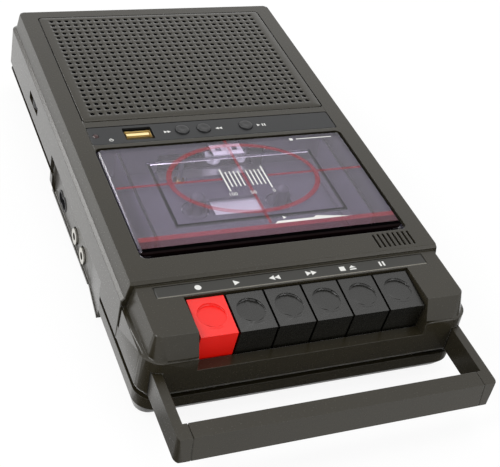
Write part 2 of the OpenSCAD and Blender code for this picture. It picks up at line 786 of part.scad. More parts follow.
usb_wall = 0.3;
module usb_socket() {
    top = deck_h - 0.6;
    low = usb_board_top - 5.4;
    color(brass) {
        difference() {
            union() {
                box(usb_x - usb_w / 2, usb_x + usb_w / 2, panel_y - usb_t / 2, panel_y + usb_t / 2, low,
                    top);
                box(usb_x - usb_w / 2 - 1, usb_x + usb_w / 2 + 1, panel_y - usb_t / 2 - 1,
                    panel_y + usb_t / 2 + 1,
                    usb_board_top, usb_board_top + 0.6);
            }
            box(usb_x - usb_w / 2 + usb_wall, usb_x + usb_w / 2 - usb_wall, panel_y - usb_t / 2 + usb_wall,
                panel_y + usb_t / 2 - usb_wall, low + 1.5, top + through);
        }
        box(usb_x - 5.55, usb_x + 5.55, panel_y - 0.1, panel_y + 1.74, low + 1, top - 0.6);
    }
}

module power_light() {
    color(red) translate([led_x, panel_y, 0]) rotate_extrude()
        polygon([[0, usb_board_top], [1.9, usb_board_top],
        [1.9, usb_board_top + 1], [led_r, usb_board_top + 1], [led_r, deck_h - 0.2],
            [led_r * 0.7, deck_h + 0.3],
        [0, deck_h + 0.5]]);
}

// One sprung round button, flanged under the panel
module round_button(x) {
    flange_z = deck_h - panel_t - 0.2;
    r = button_d / 2;
    top = deck_h + button_proud;
    color(key_color) translate([x, panel_y, 0]) rotate_extrude()
        polygon([[0, usb_board_top + switch_h + button_travel + 0.2],
        [2, usb_board_top + switch_h + button_travel + 0.2], [2, flange_z - 1.2], [r + 0.9, flange_z - 1.2],
        [r + 0.9, flange_z], [r, flange_z], [r, top - 0.5], [r - 0.4, top - 0.1], [r - 1.2, top],
            [0, top - 0.2]]);
}

module forward_button() {
    round_button(button_x[0]);
}

module rewind_button() {
    round_button(button_x[1]);
}

module play_button() {
    round_button(button_x[2]);
}

module label_strip() {
    color([0.14, 0.14, 0.14]) box(-strip_w / 2, strip_w / 2, strip_y0, strip_y1, block_h - strip_seat,
        block_h - strip_seat + strip_t);
}

// Cassette well and transport chassis

module cassette_well() {
    head_x0 = capstan_x - 9.5;
    head_x1 = hub_x + 3;
    out_y0 = well_y0 - well_wall;
    out_y1 = well_y1 + well_wall;
    out_x = well_x + well_wall;
    ear = 2.6;
    color(black) difference() {
        union() {
            difference() {
                plate(-out_x, out_x, out_y0, out_y1, chassis_top, deck_in, well_corner_r + well_wall);
                plate(-well_x, well_x, well_y0, well_y1, well_floor, deck_in + through, well_corner_r);
            }
            for (y = transport_screw_y) both_sides()
                post(transport_screw_x, y, 2.6, well_floor - 0.5, well_floor + 5);
            both_sides() for (y = transport_screw_y)
                box(out_x - 0.5, out_x + ear, y - 4, y + 4, deck_in - 3, deck_in);
        }
        both_sides() post(hub_x, hub_y, 6.5, chassis_top - through, deck_in);
        post(capstan_x, capstan_y, 3.6, chassis_top - through, deck_in);
        box(-12.6, 12.6, hub_y - 5, hub_y + 7, chassis_top - through, deck_in);
        box(head_x0, head_x1, well_y1 - 6, out_y1 + through, chassis_top - through, chassis_top + 11.6);
        both_sides() bar_x(well_x - through, out_x + through, hinge_y, hinge_z, hinge_r);
        for (y = transport_screw_y) both_sides()
            post(transport_screw_x, y, 1.2, chassis_top - through, well_floor + 3.5);
    }
}

ear_x0 = key_open_x + 4;
ear_t = 1.6;
guide_stud_x = [capstan_x + 11, 8.6];
guide_stud_y = head_y + 4.6;
module chassis_plate() {
    front = pivot_y - 6;
    back = well_y1 + 12.4;
    color(steel) difference() {
        union() {
            plate(-chassis_x, chassis_x, front, back, chassis_z, chassis_top, 2);
            both_sides() difference() {
                union() {
                    box(ear_x0, ear_x0 + ear_t, pivot_y - 4, pivot_y + 4, chassis_top - 0.4, pivot_z);
                    bar_x(ear_x0, ear_x0 + ear_t, pivot_y, pivot_z, 4);
                }
                bar_x(ear_x0 - through, ear_x0 + ear_t + through, pivot_y, pivot_z, key_shaft_r);
            }
            for (x = guide_stud_x) post(x, guide_stud_y, shaft_r, chassis_z, chassis_top + 3);
        }
        both_sides() post(hub_x, hub_y, shaft_r + run_fit, chassis_z - through, chassis_top + through);
        post(capstan_x, capstan_y, bush_r + run_fit, chassis_z - through, chassis_top + through);
        for (y = transport_screw_y) both_sides()
            post(transport_screw_x, y, 1.3, chassis_z - through, chassis_top + through);
        both_sides() plate(hub_x + 14, hub_x + 30, hub_y - 14, hub_y + 10, chassis_z - through,
            chassis_top + through, 3);
    }
}

// Door

door_z = deck_h - door_t;
door_edge = 1;
rib_h = 1;
rib_w = 1.2;
rail_t = 1.6;
rail_x = rail_w / 2;
rail_y0 = door_y0 + 8.9;
rail_y1 = door_y1 - 2.4;
ear_in = well_x - 5.4;
ear_out = well_x - 2.6;
ear_r = 2.4;
module door_window() {
    frame_x = rail_x - 10.1;
    frame_y = door_y0 + 16.6;
    cross_y = door_y1 - 11.1;
    color([0.36, 0.34, 0.42, 0.6]) difference() {
        union() {
            plate(-door_w / 2, door_w / 2, door_y0, door_y1, door_z, deck_h - door_edge, 2);
            hull() {
                plate(-door_w / 2, door_w / 2, door_y0, door_y1, deck_h - door_edge - skin,
                    deck_h - door_edge, 2);
                plate(-door_w / 2 + door_edge, door_w / 2 - door_edge, door_y0 + door_edge,
                    door_y1 - door_edge,
                    deck_h - skin, deck_h, 1.5);
            }
            box(-ear_in + 1, ear_in - 1, door_y0 + 0.1, door_y0 + 1.7, door_z - 3, door_z);
            both_sides() {
                box(ear_in, ear_out, hinge_y - ear_r, hinge_y + ear_r, hinge_z, door_z);
                bar_x(ear_in, ear_out, hinge_y, hinge_z, ear_r);
                box(frame_x - rib_w, frame_x, frame_y, cross_y, door_z - rib_h, door_z);
            }
            for (y = [frame_y, cross_y]) box(-frame_x, frame_x, y - rib_w, y, door_z - rib_h, door_z);
        }
        both_sides() bar_x(ear_in - through, ear_out + through, hinge_y, hinge_z, hinge_r + run_fit);
    }
}

module guide_rails() {
    lip = 4;
    color(black) both_sides() run_rail(lip);
}

// One channel that holds a cassette's edge
module run_rail(lip) {
    box(rail_x, rail_x + rail_t, rail_y0, rail_y1, door_z - rail_h - 1.2, door_z);
    box(rail_x - lip, rail_x, rail_y0, rail_y1, door_z - rail_h - 1.2, door_z - rail_h);
}

catch_w = 15.6;
catch_l = 10.4;
hook_y1 = door_y1 - 0.6;
module door_catch() {
    t = 0.8;
    color(steel) difference() {
        union() {
            box(-catch_w / 2, catch_w / 2, hook_y1 - catch_l + 1, hook_y1, door_z - t, door_z);
            box(-4, 4, hook_y1 - t, hook_y1, door_z - 4.2, door_z);
            box(-4, 4, hook_y1 - t - 1, hook_y1, door_z - 4.6, door_z - 3.8);
        }
        for (x = [-4.2, 4.2]) box(x - 1.4, x + 1.4, hook_y1 - 6.4, hook_y1 - 3.6, door_z - t - through,
            door_z + through);
    }
}

module door_latch() {
    color(steel) box(-5, 5, hook_y1 + fit, well_y1, door_z - 5, door_z - 1.6);
}

module door_pins() {
    color(steel) both_sides() bar_x(ear_in - 0.4, well_x + well_wall, hinge_y, hinge_z, hinge_r);
}

// Keys

key_n = 6;
key_wall = 1.8;
hub_r = key_shaft_r + 1.7;
hub_w = 12;
web_w = 6;
web_z0 = pivot_z - 2.3;
web_z1 = pivot_z + 3;
key_top_rear = block_h - key_drop;
key_low = ledge_z - 1.8;

module key_shaft() {
    color(steel) bar_x(-ear_x0 - ear_t, ear_x0 + ear_t, pivot_y, pivot_z, key_shaft_r);
}

// Side profile of a key cap, drawn in by o
function cap_profile(o) = [[key_y1 - o, key_low - (o > 0 ? 1 : 0)], [key_y1 - o, key_top_rear - o],
    [key_y0 + o, key_top_rear - key_fall - o], [key_y0 + key_undercut + o, key_low - (o > 0 ? 1 : 0)]];

// Piano key number i from the left: hollow cap with a thumb scoop, on a lever hung on the shaft
module piano_key(i, tint) {
    x = (i - (key_n - 1) / 2) * key_pitch;
    cap_w = key_pitch - key_gap;
    scoop_r = scoop_d / 2;
    scoop_y = (key_y0 + key_y1) / 2 + 0.6;
    scoop_floor = key_top_rear - key_fall * (key_y1 - scoop_y + scoop_r) / key_l;
    color(tint) translate([x, 0, 0]) difference() {
        union() {
            difference() {
                run_x(-cap_w / 2, cap_w / 2, cap_profile(0));
                run_x(-cap_w / 2 + key_wall, cap_w / 2 - key_wall, cap_profile(key_wall));
                post(0, scoop_y, scoop_r, scoop_floor, block_h);
            }
            post(0, scoop_y, scoop_r + 1, scoop_floor - 1.2, scoop_floor);
            box(-web_w / 2, web_w / 2, key_y1 - key_wall - 4, pivot_y, web_z0, web_z1);
            bar_x(-hub_w / 2, hub_w / 2, pivot_y, pivot_z, hub_r);
        }
        bar_x(-hub_w, hub_w, pivot_y, pivot_z, key_shaft_r + run_fit);
    }
}

module record_key() {
    piano_key(0, red);
}

module play_key() {
    piano_key(1, key_color);
}

module rewind_key() {
    piano_key(2, key_color);
}

module forward_key() {
    piano_key(3, key_color);
}

module stop_key() {
    piano_key(4, key_color);
}

module pause_key() {
    piano_key(5, key_color);
}

// Comb of leaf springs that lifts the six levers
module key_spring_comb() {
    t = 0.4;
    root_y = pivot_y - 5.6;
    tip_y = key_y1 + 1.4;
    rise = web_z0 - 0.35 - t - chassis_top;
    span = key_pitch * (key_n - 1) / 2 + 3;
    color(steel) {
        box(-span, span, root_y, pivot_y - 1, chassis_top, chassis_top + t);
        for (i = [0 : key_n - 1]) {
            x = (i - (key_n - 1) / 2) * key_pitch;
            run_x(x - 2.2, x + 2.2, [[root_y, chassis_top], [root_y, chassis_top + t],
                [tip_y, chassis_top + rise + t], [tip_y, chassis_top + rise]]);
        }
    }
}

// Handle

grip_lean = 1.6;
grip_wall = 2.2;
tenon_l = 3;

// Cross-section of the grip as [y, z] points, drawn in by o
function grip_profile(o) = [[handle_y1 - o, arm_z1 - o], [handle_y0 + grip_lean + o, arm_z1 - o],
    [handle_y0 + o, arm_z + 1.2 + o], [handle_y0 + 1 + o, arm_z - (o > 0 ? 1 : 0)],
    [handle_y1 - o, arm_z - (o > 0 ? 1 : 0)]];

module handle_grip() {
    color(body_color) {
        difference() {
            run_x(-grip_x, grip_x, grip_profile(0));
            run_x(-grip_x + grip_wall, grip_x - grip_wall, grip_profile(grip_wall));
        }
        both_sides() box(grip_x - 0.2, grip_x + tenon_l, handle_y1 - 6, handle_y1 - 2.6, arm_z + 3,
            arm_z1 - 3);
    }
}

// Right arm: sliding blade with its stop hook, and the rounded end block that takes the grip
module arm_form() {
    end_r = 4;
    difference() {
        union() {
            intersection() {
                run_x(grip_x, arm_x1, grip_profile(0));
                plate(0, arm_x1, handle_y0, y_front, arm_z, arm_z1, end_r);
            }
            box(arm_x0, arm_x1, handle_y1 - 1, arm_end, arm_z, arm_z1);
            box(arm_x1 - 1, arm_x1 + 1.2, arm_end - hook_l + 0.3, arm_end, arm_z + 1.6, arm_z1 - 1.6);
        }
        box(grip_x - through, grip_x + tenon_l + run_fit, handle_y1 - 6 - run_fit,
            handle_y1 - 2.6 + run_fit,
            arm_z + 3 - run_fit, arm_z1 - 3 + run_fit);
    }
}

module handle_right_arm() {
    color(body_color) arm_form();
}

module handle_left_arm() {
    color(body_color) mirror([1, 0, 0]) arm_form();
}

// Tape drive

// Reel spindle: shaft, disc below the chassis, flange and finned hub above it
module reel_spindle(x) {
    tip = chassis_top + spindle_h;
    hub_bottom = chassis_top + 0.1;
    color([0.85, 0.85, 0.82]) translate([x, hub_y, 0]) {
        rotate_extrude() polygon([[0, low_z0], [reel_r, low_z0], [reel_r, low_z1], [4, low_z1],
            [4, low_z1 + 1],
            [shaft_r, low_z1 + 1], [shaft_r, hub_bottom], [6, hub_bottom], [6, hub_bottom + 1.5],
            [3.4, hub_bottom + 1.5], [3.4, tip - 2.5], [1, tip], [0, tip]]);
        for (a = [0 : 120 : 240]) rotate(a) run_x(-0.5, 0.5, [[2, hub_bottom + 1], [5, hub_bottom + 1],
            [4.6, tip - 4], [2, tip - 2.5]]);
    }
}

module supply_spindle() {
    reel_spindle(hub_x);
}

module takeup_spindle() {
    reel_spindle(-hub_x);
}

bush_r = 3;
module flywheel() {
    top = well_floor + 11.5;
    color([0.7, 0.68, 0.62]) translate([capstan_x, capstan_y, 0]) rotate_extrude()
        polygon([[0, thrust_z], [capstan_r, thrust_z],
        [capstan_r, low_z0], [small_pulley_r, low_z0], [small_pulley_r, low_z1], [4, low_z1],
            [4, fly_z0 + 1],
        [flywheel_r - 5, fly_z0 + 1], [flywheel_r - 5, fly_z0], [flywheel_r, fly_z0], [flywheel_r, fly_z1],
        [flywheel_r - 5, fly_z1], [flywheel_r - 5, fly_z1 - 1], [4, fly_z1 - 1], [4, fly_z1 + 0.6],
        [capstan_r, fly_z1 + 0.6], [capstan_r, top - 0.4], [capstan_r - 0.3, top], [0, top]]);
}

module capstan_bush() {
    color(brass) translate([capstan_x, capstan_y, 0]) difference() {
        union() {
            cylinder_between(bush_r, chassis_z - 1.8, chassis_top + 1.2);
            cylinder_between(bush_r + 1.4, chassis_z - 1, chassis_z);
        }
        cylinder_between(capstan_r + run_fit, chassis_z - 3, chassis_top + 4);
    }
}

// Round bar on the local axis
module cylinder_between(r, z0, z1) {
    translate([0, 0, z0]) cylinder(r = r, h = z1 - z0);
}

module flywheel_bracket() {
    top = thrust_z - 0.2;
    color(steel) {
        for (p = bracket_posts) post(p[0], p[1], post_r, top - bracket_t, chassis_z);
        translate([0, 0, top - bracket_t]) linear_extrude(bracket_t)
            for (p = bracket_posts) belt_outline([capstan_x, capstan_y], 5, p, 4);
    }
}

// Outline of two discs and the straight runs between them
module belt_outline(p1, r1, p2, r2) {
    d = p2 - p1;
    a = atan2(d[1], d[0]);
    b = acos((r1 - r2) / norm(d));
    translate(p1) circle(r1);
    translate(p2) circle(r2);
    polygon([p1 + r1 * [cos(a + b), sin(a + b)], p1 + r1 * [cos(a - b), sin(a - b)],
        p2 + r2 * [cos(a - b), sin(a - b)], p2 + r2 * [cos(a + b), sin(a + b)]]);
}

// Flat belt round two pulleys
module flat_belt(p1, r1, p2, r2, z) {
    color(black) translate([0, 0, z]) linear_extrude(belt_h) difference() {
        belt_outline(p1, r1 + fit + belt_t, p2, r2 + fit + belt_t);
        belt_outline(p1, r1 + fit, p2, r2 + fit);
    }
}

module main_belt() {
    flat_belt([capstan_x, capstan_y], flywheel_r, [motor_x, motor_y], pulley_r, fly_z0 + 0.8);
}

module takeup_belt() {
    flat_belt([-hub_x, hub_y], reel_r, [capstan_x, capstan_y], small_pulley_r, low_z0 + 0.5);
}

motor_top = fly_z0 - 0.2;
motor_pillar = 11;
module motor() {
    a = atan2(capstan_y - motor_y, capstan_x - motor_x) + 90;
    color(steel) translate([motor_x, motor_y, 0]) difference() {
        union() {
            rotate_extrude() polygon([[0, motor_top - motor_h], [motor_r - 1, motor_top - motor_h],
                [motor_r, motor_top - motor_h + 1], [motor_r, motor_top - 0.6], [motor_r - 0.6, motor_top],
                    [0, motor_top]]);
            for (t = [a, a + 180]) rotate(t) translate([motor_pillar, 0, 0])
                cylinder_between(post_r, motor_top - 1, chassis_z);
        }
        cylinder_between(1 + run_fit, motor_top - 6, motor_top + through);
    }
}

module motor_pulley() {
    color(brass) translate([motor_x, motor_y, 0]) rotate_extrude()
        polygon([[0, motor_top - 5.5], [1, motor_top - 5.5],
        [1, motor_top + 0.3], [pulley_r + 1, motor_top + 0.3], [pulley_r + 1, motor_top + 0.7],
        [pulley_r, motor_top + 0.9], [pulley_r, fly_z1 - 0.4], [pulley_r + 1, fly_z1],
            [pulley_r + 1, fly_z1 + 0.5],
        [0, fly_z1 + 0.5]]);
}

plate_t = 1.2;
roller_y = capstan_y + capstan_r + roller_r + head_travel + fit;
pin_r = 1;
module head_plate() {
    z1 = chassis_top + plate_t;
    x0 = capstan_x - 8;
    x1 = hub_x - 1;
    color(steel) difference() {
        union() {
            plate(x0, x1, head_y, head_y + 9, chassis_top, z1, 1);
            post(capstan_x, roller_y, pin_r, chassis_top, z1 + 10);
            post(capstan_x, roller_y, 2.6, chassis_top, z1 + 0.6);
        }
        for (x = guide_stud_x) plate(x - shaft_r - run_fit, x + shaft_r + run_fit,
            guide_stud_y - shaft_r - run_fit,
            guide_stud_y + shaft_r + head_travel + run_fit, chassis_top - through, z1 + through, shaft_r);
    }
}

module tape_heads() {
    z0 = chassis_top + plate_t;
    color(steel) {
        tape_head(0, 6, 9, z0);
        tape_head(14.4, 3.4, 8, z0);
    }
}

// Tape head with its face rounded towards the cassette
module tape_head(x, half, l, z0) {
    face_r = half + 1;
    intersection() {
        box(x - half, x + half, head_y + 0.2, head_y + l, z0, z0 + 9);
        union() {
            post(x, head_y + 0.2 + face_r, face_r, z0, z0 + 9);
            box(x - half, x + half, head_y + face_r - 1, head_y + l, z0, z0 + 9);
        }
    }
}

module pinch_roller() {
    z0 = chassis_top + plate_t + 0.9;
    color(black) translate([capstan_x, roller_y, 0]) difference() {
        cylinder_between(roller_r, z0, z0 + 7.5);
        cylinder_between(pin_r + run_fit, z0 - through, z0 + 9);
    }
}

// Boards, sockets and power

transformer_x0 = -62;
transformer_x1 = -30;
transformer_y0 = well_y1 + 17.2;
transformer_y1 = transformer_y0 + 24;
transformer_z0 = floor_z + 1;
module transformer() {
    h = 22;
    cx = (transformer_x0 + transformer_x1) / 2;
    cy = (transformer_y0 + transformer_y1) / 2;
    color([0.5, 0.5, 0.52]) {
        box(transformer_x0, transformer_x1, cy - 5, cy + 5, transformer_z0, transformer_z0 + h);
        difference() {
            plate(cx - 10, cx + 10, transformer_y0, transformer_y1, transformer_z0 + 4,
                transformer_z0 + h - 4, 3);
            box(cx - 11, cx + 11, cy - 5, cy + 5, transformer_z0, transformer_z0 + h);
        }
    }
}

module main_board() {
    top = board_z + board_t;
    x0 = -recess_x + wall + 1;
    y0 = recess_y1 - 90;
    color(board_color) {
        box(x0, 8, y0, recess_y1 - 32, board_z, top);
        box(-40, -18, y0 + 12, y0 + 19, top, top + 3);
        for (x = [-52, -40, -10]) post(x, y0 + 6, 2.5, top, top + 7);
        post(-48, y0 + 22, 4, top, top + 9);
    }
}

jack_collar_r = 3.9;
jack_ring = 0.7;
jack_ring_d = 1.2;
jack_l = 12;
module audio_jacks() {
    face = -recess_x - 1;
    color(steel) for (y = jack_y) difference() {
        union() {
            bar_x(face, -recess_x + wall + 0.5, y, jack_z, jack_collar_r);
            box(-recess_x + wall, -recess_x + wall + jack_l, y - 5, y + 5, board_z + board_t, jack_z + 4);
        }
        bar_x(face - through, face + jack_l, y, jack_z, jack_r);
    }
}

module mains_inlet() {
    depth = 10;
    body_l = 15;
    color(black) {
        difference() {
            union() {
                for (s = [-1, 1])
                    bar_x(-recess_x - 0.4, -recess_x + wall + 0.5, inlet_y + s * inlet_lobe, inlet_z,
                    inlet_r);
                box(-recess_x + wall, -recess_x + wall + body_l, inlet_y - 7, inlet_y + 7, floor_z,
                    inlet_z + 4.4);
            }
            for (s = [-1, 1]) bar_x(-recess_x - 2, -recess_x + depth, inlet_y + s * inlet_lobe, inlet_z,
                inlet_r - 1);
            box(-recess_x - 2, -recess_x + depth, inlet_y - inlet_lobe, inlet_y + inlet_lobe, inlet_z - 2,
                inlet_z + 2);
        }
        for (s = [-1, 1]) bar_x(-recess_x + 1, -recess_x + depth + 1, inlet_y + s * inlet_pin, inlet_z,
            1.1);
    }
}

pot_r = 3;
module volume_control() {
    color([0.3, 0.3, 0.32]) difference() {
        box(wheel_x - 5, wheel_x + 7, wheel_y - 6, wheel_y + 6, wheel_post_z, wheel_z - wheel_t / 2 - 0.6);
        post(wheel_x, wheel_y, pot_r + run_fit, wheel_z - 7, wheel_z);
    }
}

module volume_wheel() {
    z0 = wheel_z - wheel_t / 2;
    ridges = 48;
    color(key_color) difference() {
        union() {
            post(wheel_x, wheel_y, wheel_r, z0, z0 + wheel_t);
            post(wheel_x, wheel_y, pot_r, wheel_z - 6.8, z0 + 0.5);
        }
        for (i = [0 : ridges - 1]) translate([wheel_x, wheel_y, 0]) rotate(i * 360 / ridges)
            translate([wheel_r + 0.15, 0, 0]) cylinder_between(0.45, z0 - through, z0 + wheel_t + through);
        post(wheel_x, wheel_y, wheel_r - 3, z0 + 2, z0 + wheel_t + through);
    }
}

module microphone() {
    x = vent_x1 - vent_pitch * (vent_n - 1) / 2;
    y = step_y + 3 + vent_l / 2 - 0.8;
    color(black) difference() {
        post(x, y, 4, deck_in - 6, deck_in);
        post(x, y, 2.8, deck_in - 1.4, deck_in + through);
    }
}

module battery_contacts() {
    t = 0.5;
    color(steel) for (k = [0, 1]) {
        x = bay_x0 + 1 + cell_d * (k + 0.5);
        box(x - 9, x + 9, bay_y0, bay_y0 + t, floor_z + 2, floor_z + bay_h - 2);
        box(x - 9, x + 9, bay_y1 - t, bay_y1, floor_z + 2, floor_z + bay_h - 2);
        translate([x, bay_y0 + t, floor_z + bay_h / 2]) rotate([-90, 0, 0])
            cylinder(r1 = 4, r2 = 2, h = 1.6);
    }
}

module battery_cover() {
    c = fit;
    color(body_color) difference() {
        union() {
            plate(cover_x0 + c, cover_x1 - c, cover_y0 + c, cover_y1 - c, base_z, base_z + cover_rebate,
                1.7);
            plate(cover_x0 + cover_lip + c, cover_x1 - cover_lip - c, cover_y0 + cover_lip + c,
                cover_y1 - cover_lip - c, base_z + cover_rebate - 0.2, floor_z, 1.7);
        }
        for (k = [0 : 4]) box((cover_x0 + cover_x1) / 2 - 10, (cover_x0 + cover_x1) / 2 + 10,
            cover_y0 + 7 + 2.4 * k,
            cover_y0 + 8.2 + 2.4 * k, base_z - through, base_z + 0.6);
    }
}

module feet() {
    color(black) for (f = foot_at) post(f[0], f[1], foot_r, 0, base_z + foot_seat);
}

module case_screws() {
    head_z = base_z + bore_depth;
    color(steel) for (s = case_screw_at) difference() {
        union() {
            post(s[0], s[1], screw_head_r, head_z - 2, head_z);
            post(s[0], s[1], screw_r, head_z - 0.5, boss_z + 9);
        }
        for (a = [0, 90]) translate([s[0], s[1], head_z - 2.5]) rotate(a) translate([-1.8, -0.35, 0])
            cube([3.6, 0.7, 1.5]);
    }
}

module transport_screws() {
    color(steel) for (y = transport_screw_y) both_sides() {
        post(transport_screw_x, y, 2.4, chassis_z - 1.6, chassis_z);
        post(transport_screw_x, y, 1.15, chassis_z - 0.5, well_floor + 3);
    }
}

top_case();
bottom_case();
speaker_grille();
dust_cloth();
speaker_basket();
speaker_cone();
speaker_magnet();
control_panel();
usb_board();
usb_socket();
power_light();
forward_button();
rewind_button();
play_button();
label_strip();
cassette_well();
chassis_plate();
door_window();
guide_rails();
door_catch();
door_latch();
door_pins();
key_shaft();
key_spring_comb();
record_key();
play_key();
rewind_key();
forward_key();
stop_key();
pause_key();
handle_left_arm();
handle_right_arm();
handle_grip();
supply_spindle();
takeup_spindle();
flywheel();
capstan_bush();
flywheel_bracket();
motor();
motor_pulley();
main_belt();
takeup_belt();
head_plate();
tape_heads();
pinch_roller();
main_board();
audio_jacks();
mains_inlet();
transformer();
volume_control();
volume_wheel();
microphone();
battery_contacts();
battery_cover();
feet();
case_screws();
transport_screws();
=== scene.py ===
import math

import bmesh
import bpy
from mathutils import Matrix, Vector


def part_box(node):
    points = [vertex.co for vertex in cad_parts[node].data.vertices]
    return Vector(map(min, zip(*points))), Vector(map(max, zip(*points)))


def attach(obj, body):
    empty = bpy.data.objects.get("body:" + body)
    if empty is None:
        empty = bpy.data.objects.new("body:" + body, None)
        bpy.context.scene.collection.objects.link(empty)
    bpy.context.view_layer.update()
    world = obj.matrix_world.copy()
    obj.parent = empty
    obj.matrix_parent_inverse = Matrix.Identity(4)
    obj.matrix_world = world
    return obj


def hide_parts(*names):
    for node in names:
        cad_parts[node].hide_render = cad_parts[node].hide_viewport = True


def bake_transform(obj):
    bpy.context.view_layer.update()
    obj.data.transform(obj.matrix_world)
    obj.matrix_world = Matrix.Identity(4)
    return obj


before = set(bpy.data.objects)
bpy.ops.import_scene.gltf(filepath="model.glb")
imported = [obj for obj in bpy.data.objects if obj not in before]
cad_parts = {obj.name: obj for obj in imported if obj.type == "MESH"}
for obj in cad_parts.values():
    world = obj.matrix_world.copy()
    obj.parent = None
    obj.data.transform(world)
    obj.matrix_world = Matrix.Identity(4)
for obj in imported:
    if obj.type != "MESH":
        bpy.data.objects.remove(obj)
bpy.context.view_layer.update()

# Housing: two halves of injection-moulded ABS in a warm olive grey, screwed together from below. The mould's
# faces are spark-eroded, so the plastic has an even matt grain, and its edges are rounded by a fraction of a
# millimetre, which is where the light catches.
MM = 0.001
parting_z, lip_h, gap_rise = 15.2 * MM, 2.4 * MM, 1.0 * MM


def linear(code):
    """An sRGB hex colour as the linear colour that a shader takes."""
    parts = [int(code[i:i + 2], 16) / 255 for i in (1, 3, 5)]
    return [p / 12.92 if p <= 0.04045 else ((p + 0.055) / 1.055) ** 2.4 for p in parts] + [1]


def add(tree, kind, values=None, links=None, **settings):
    """A node with its settings, the values on its sockets and the links into them."""
    made = tree.nodes.new(kind)
    for name, value in settings.items():
        setattr(made, name, value)
    for name, value in (values or {}).items():
        made.inputs[name].default_value = value
    for name, source in (links or {}).items():
        tree.links.new(source, made.inputs[name])
    return made


def moulded_plastic(name, dark, light, rough, grain, depth, gloss=0.5, edge=0.3):
    """Moulded plastic. Its colour drifts over a few centimetres, the mould's grain breaks up its shine, and
    its edges are rounded enough to catch the light. Grain, depth and edge are in millimetres."""
    drift_size, shine_spread, abs_ior = 28 * MM, 0.07, 1.53
    made = bpy.data.materials.new(name)
    made.use_nodes = True
    tree = made.node_tree
    shader = tree.nodes["Principled BSDF"]
    shader.inputs["IOR"].default_value = abs_ior
    shader.inputs["Specular IOR Level"].default_value = gloss
    place = add(tree, "ShaderNodeTexCoord").outputs["Object"]
    drift = add(tree, "ShaderNodeTexNoise", {"Scale": 1 / drift_size, "Detail": 4, "Roughness": 0.6},
                {"Vector": place})
    colour = add(tree, "ShaderNodeMix", {6: linear(dark), 7: linear(light)}, {0: drift.outputs["Fac"]},
                 data_type="RGBA")
    tree.links.new(colour.outputs[2], shader.inputs["Base Color"])
    grit = add(tree, "ShaderNodeTexNoise", {"Scale": 1 / (grain * MM), "Detail": 2}, {"Vector": place})
    shine = add(tree, "ShaderNodeMapRange", {"To Min": rough - shine_spread, "To Max": rough + shine_spread},
                {"Value": grit.outputs["Fac"]})
    tree.links.new(shine.outputs["Result"], shader.inputs["Roughness"])
    rounded = add(tree, "ShaderNodeBevel", {"Radius": edge * MM}, samples=6)
    bump = add(tree, "ShaderNodeBump", {"Strength": 0.5, "Distance": depth * MM},
               {"Height": grit.outputs["Fac"], "Normal": rounded.outputs["Normal"]})
    tree.links.new(bump.outputs["Normal"], shader.inputs["Normal"])
    return made


def moulding(node, detail=None):
    """A copy of a CAD node with its triangles joined up, smooth over its curves and flat on its flats. detail
    adds what is too fine for the solid."""
    weld, crease = 0.0005 * MM, math.radians(15)
    form = bmesh.new()
    form.from_mesh(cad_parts[node].data)
    bmesh.ops.remove_doubles(form, verts=form.verts, dist=weld)
    if detail:
        detail(form)
    mesh = bpy.data.meshes.new(node + "_moulding")
    form.to_mesh(mesh)
    form.free()
    mesh.shade_smooth()
    mesh.set_sharp_from_angle(angle=crease)
    piece = bpy.data.objects.new(node + "_moulding", mesh)
    bpy.context.collection.objects.link(piece)
    flats = piece.modifiers.new("flats", "WEIGHTED_NORMAL")
    flats.weight = 90
    flats.keep_sharp = True
    return settled(piece)


def settled(piece):
    """The piece with its modifiers turned into plain mesh."""
    done = bpy.data.meshes.new_from_object(piece.evaluated_get(bpy.context.evaluated_depsgraph_get()))
    piece.modifiers.clear()
    piece.data = done
    return piece


def fitted(piece, material, body, slot, *nodes):
    """A finished piece: its material, the body it moves with and the nodes that it stands for. The slot is
    not used.
    """
    piece.data.materials.clear()
    piece.data.materials.append(material)
    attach(piece, body)
    if nodes:
        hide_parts(*nodes)
    return piece


def shadow_gap(form):
    """Lifts the outer edge of the top half's lip, so that the joint between the halves is a dark line."""
    near = 0.02 * MM
    lip = {v for v in form.verts if abs(v.co.z - parting_z - lip_h) < near}
    for v in form.verts:
        if abs(v.co.z - parting_z) < near and any(e.other_vert(v) in lip for e in v.link_edges):
            v.co.z += gap_rise


# Spark-eroded grain is about 0.1 mm; drawn at 0.7 mm so that it shows. The sheen is the grain's paler look
# at a low angle.
case_abs = moulded_plastic("matt_olive_grey_abs", "#221e11", "#2b2617", rough=0.25, grain=0.7, depth=0.03,
                           gloss=0.42)
case_shader = case_abs.node_tree.nodes["Principled BSDF"]
case_shader.inputs["Sheen Weight"].default_value = 0.6
case_shader.inputs["Sheen Roughness"].default_value = 0.3
top_half = fitted(moulding("top_case", shadow_gap), case_abs, "case", "case_plastic", "top_case")
fitted(moulding("bottom_case"), case_abs, "case", "case_plastic", "bottom_case")

# Speaker grille: one panel of the case's ABS, dropped into a seat in the deck and welded from below. A tree
# lays one pierced cell at the holes' pitch and welds the field of holes to the panel's plain border. The
# holes are 2.2 mm wide here and 1.95 mm in the solid, so that the field looks dark enough.
grille_low, grille_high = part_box("speaker_grille")
hole_pitch, hole_r, hole_rim, hole_sides = 4.05 * MM, 1.1 * MM, 0.05 * MM, 16
columns, rows = 29, 22
field_y = 85.3 * MM
half_x, half_y = columns * hole_pitch / 2, rows * hole_pitch / 2
grille_crease = math.radians(50)
wall_lean = 0.3  # a face whose normal rises less than this is a wall


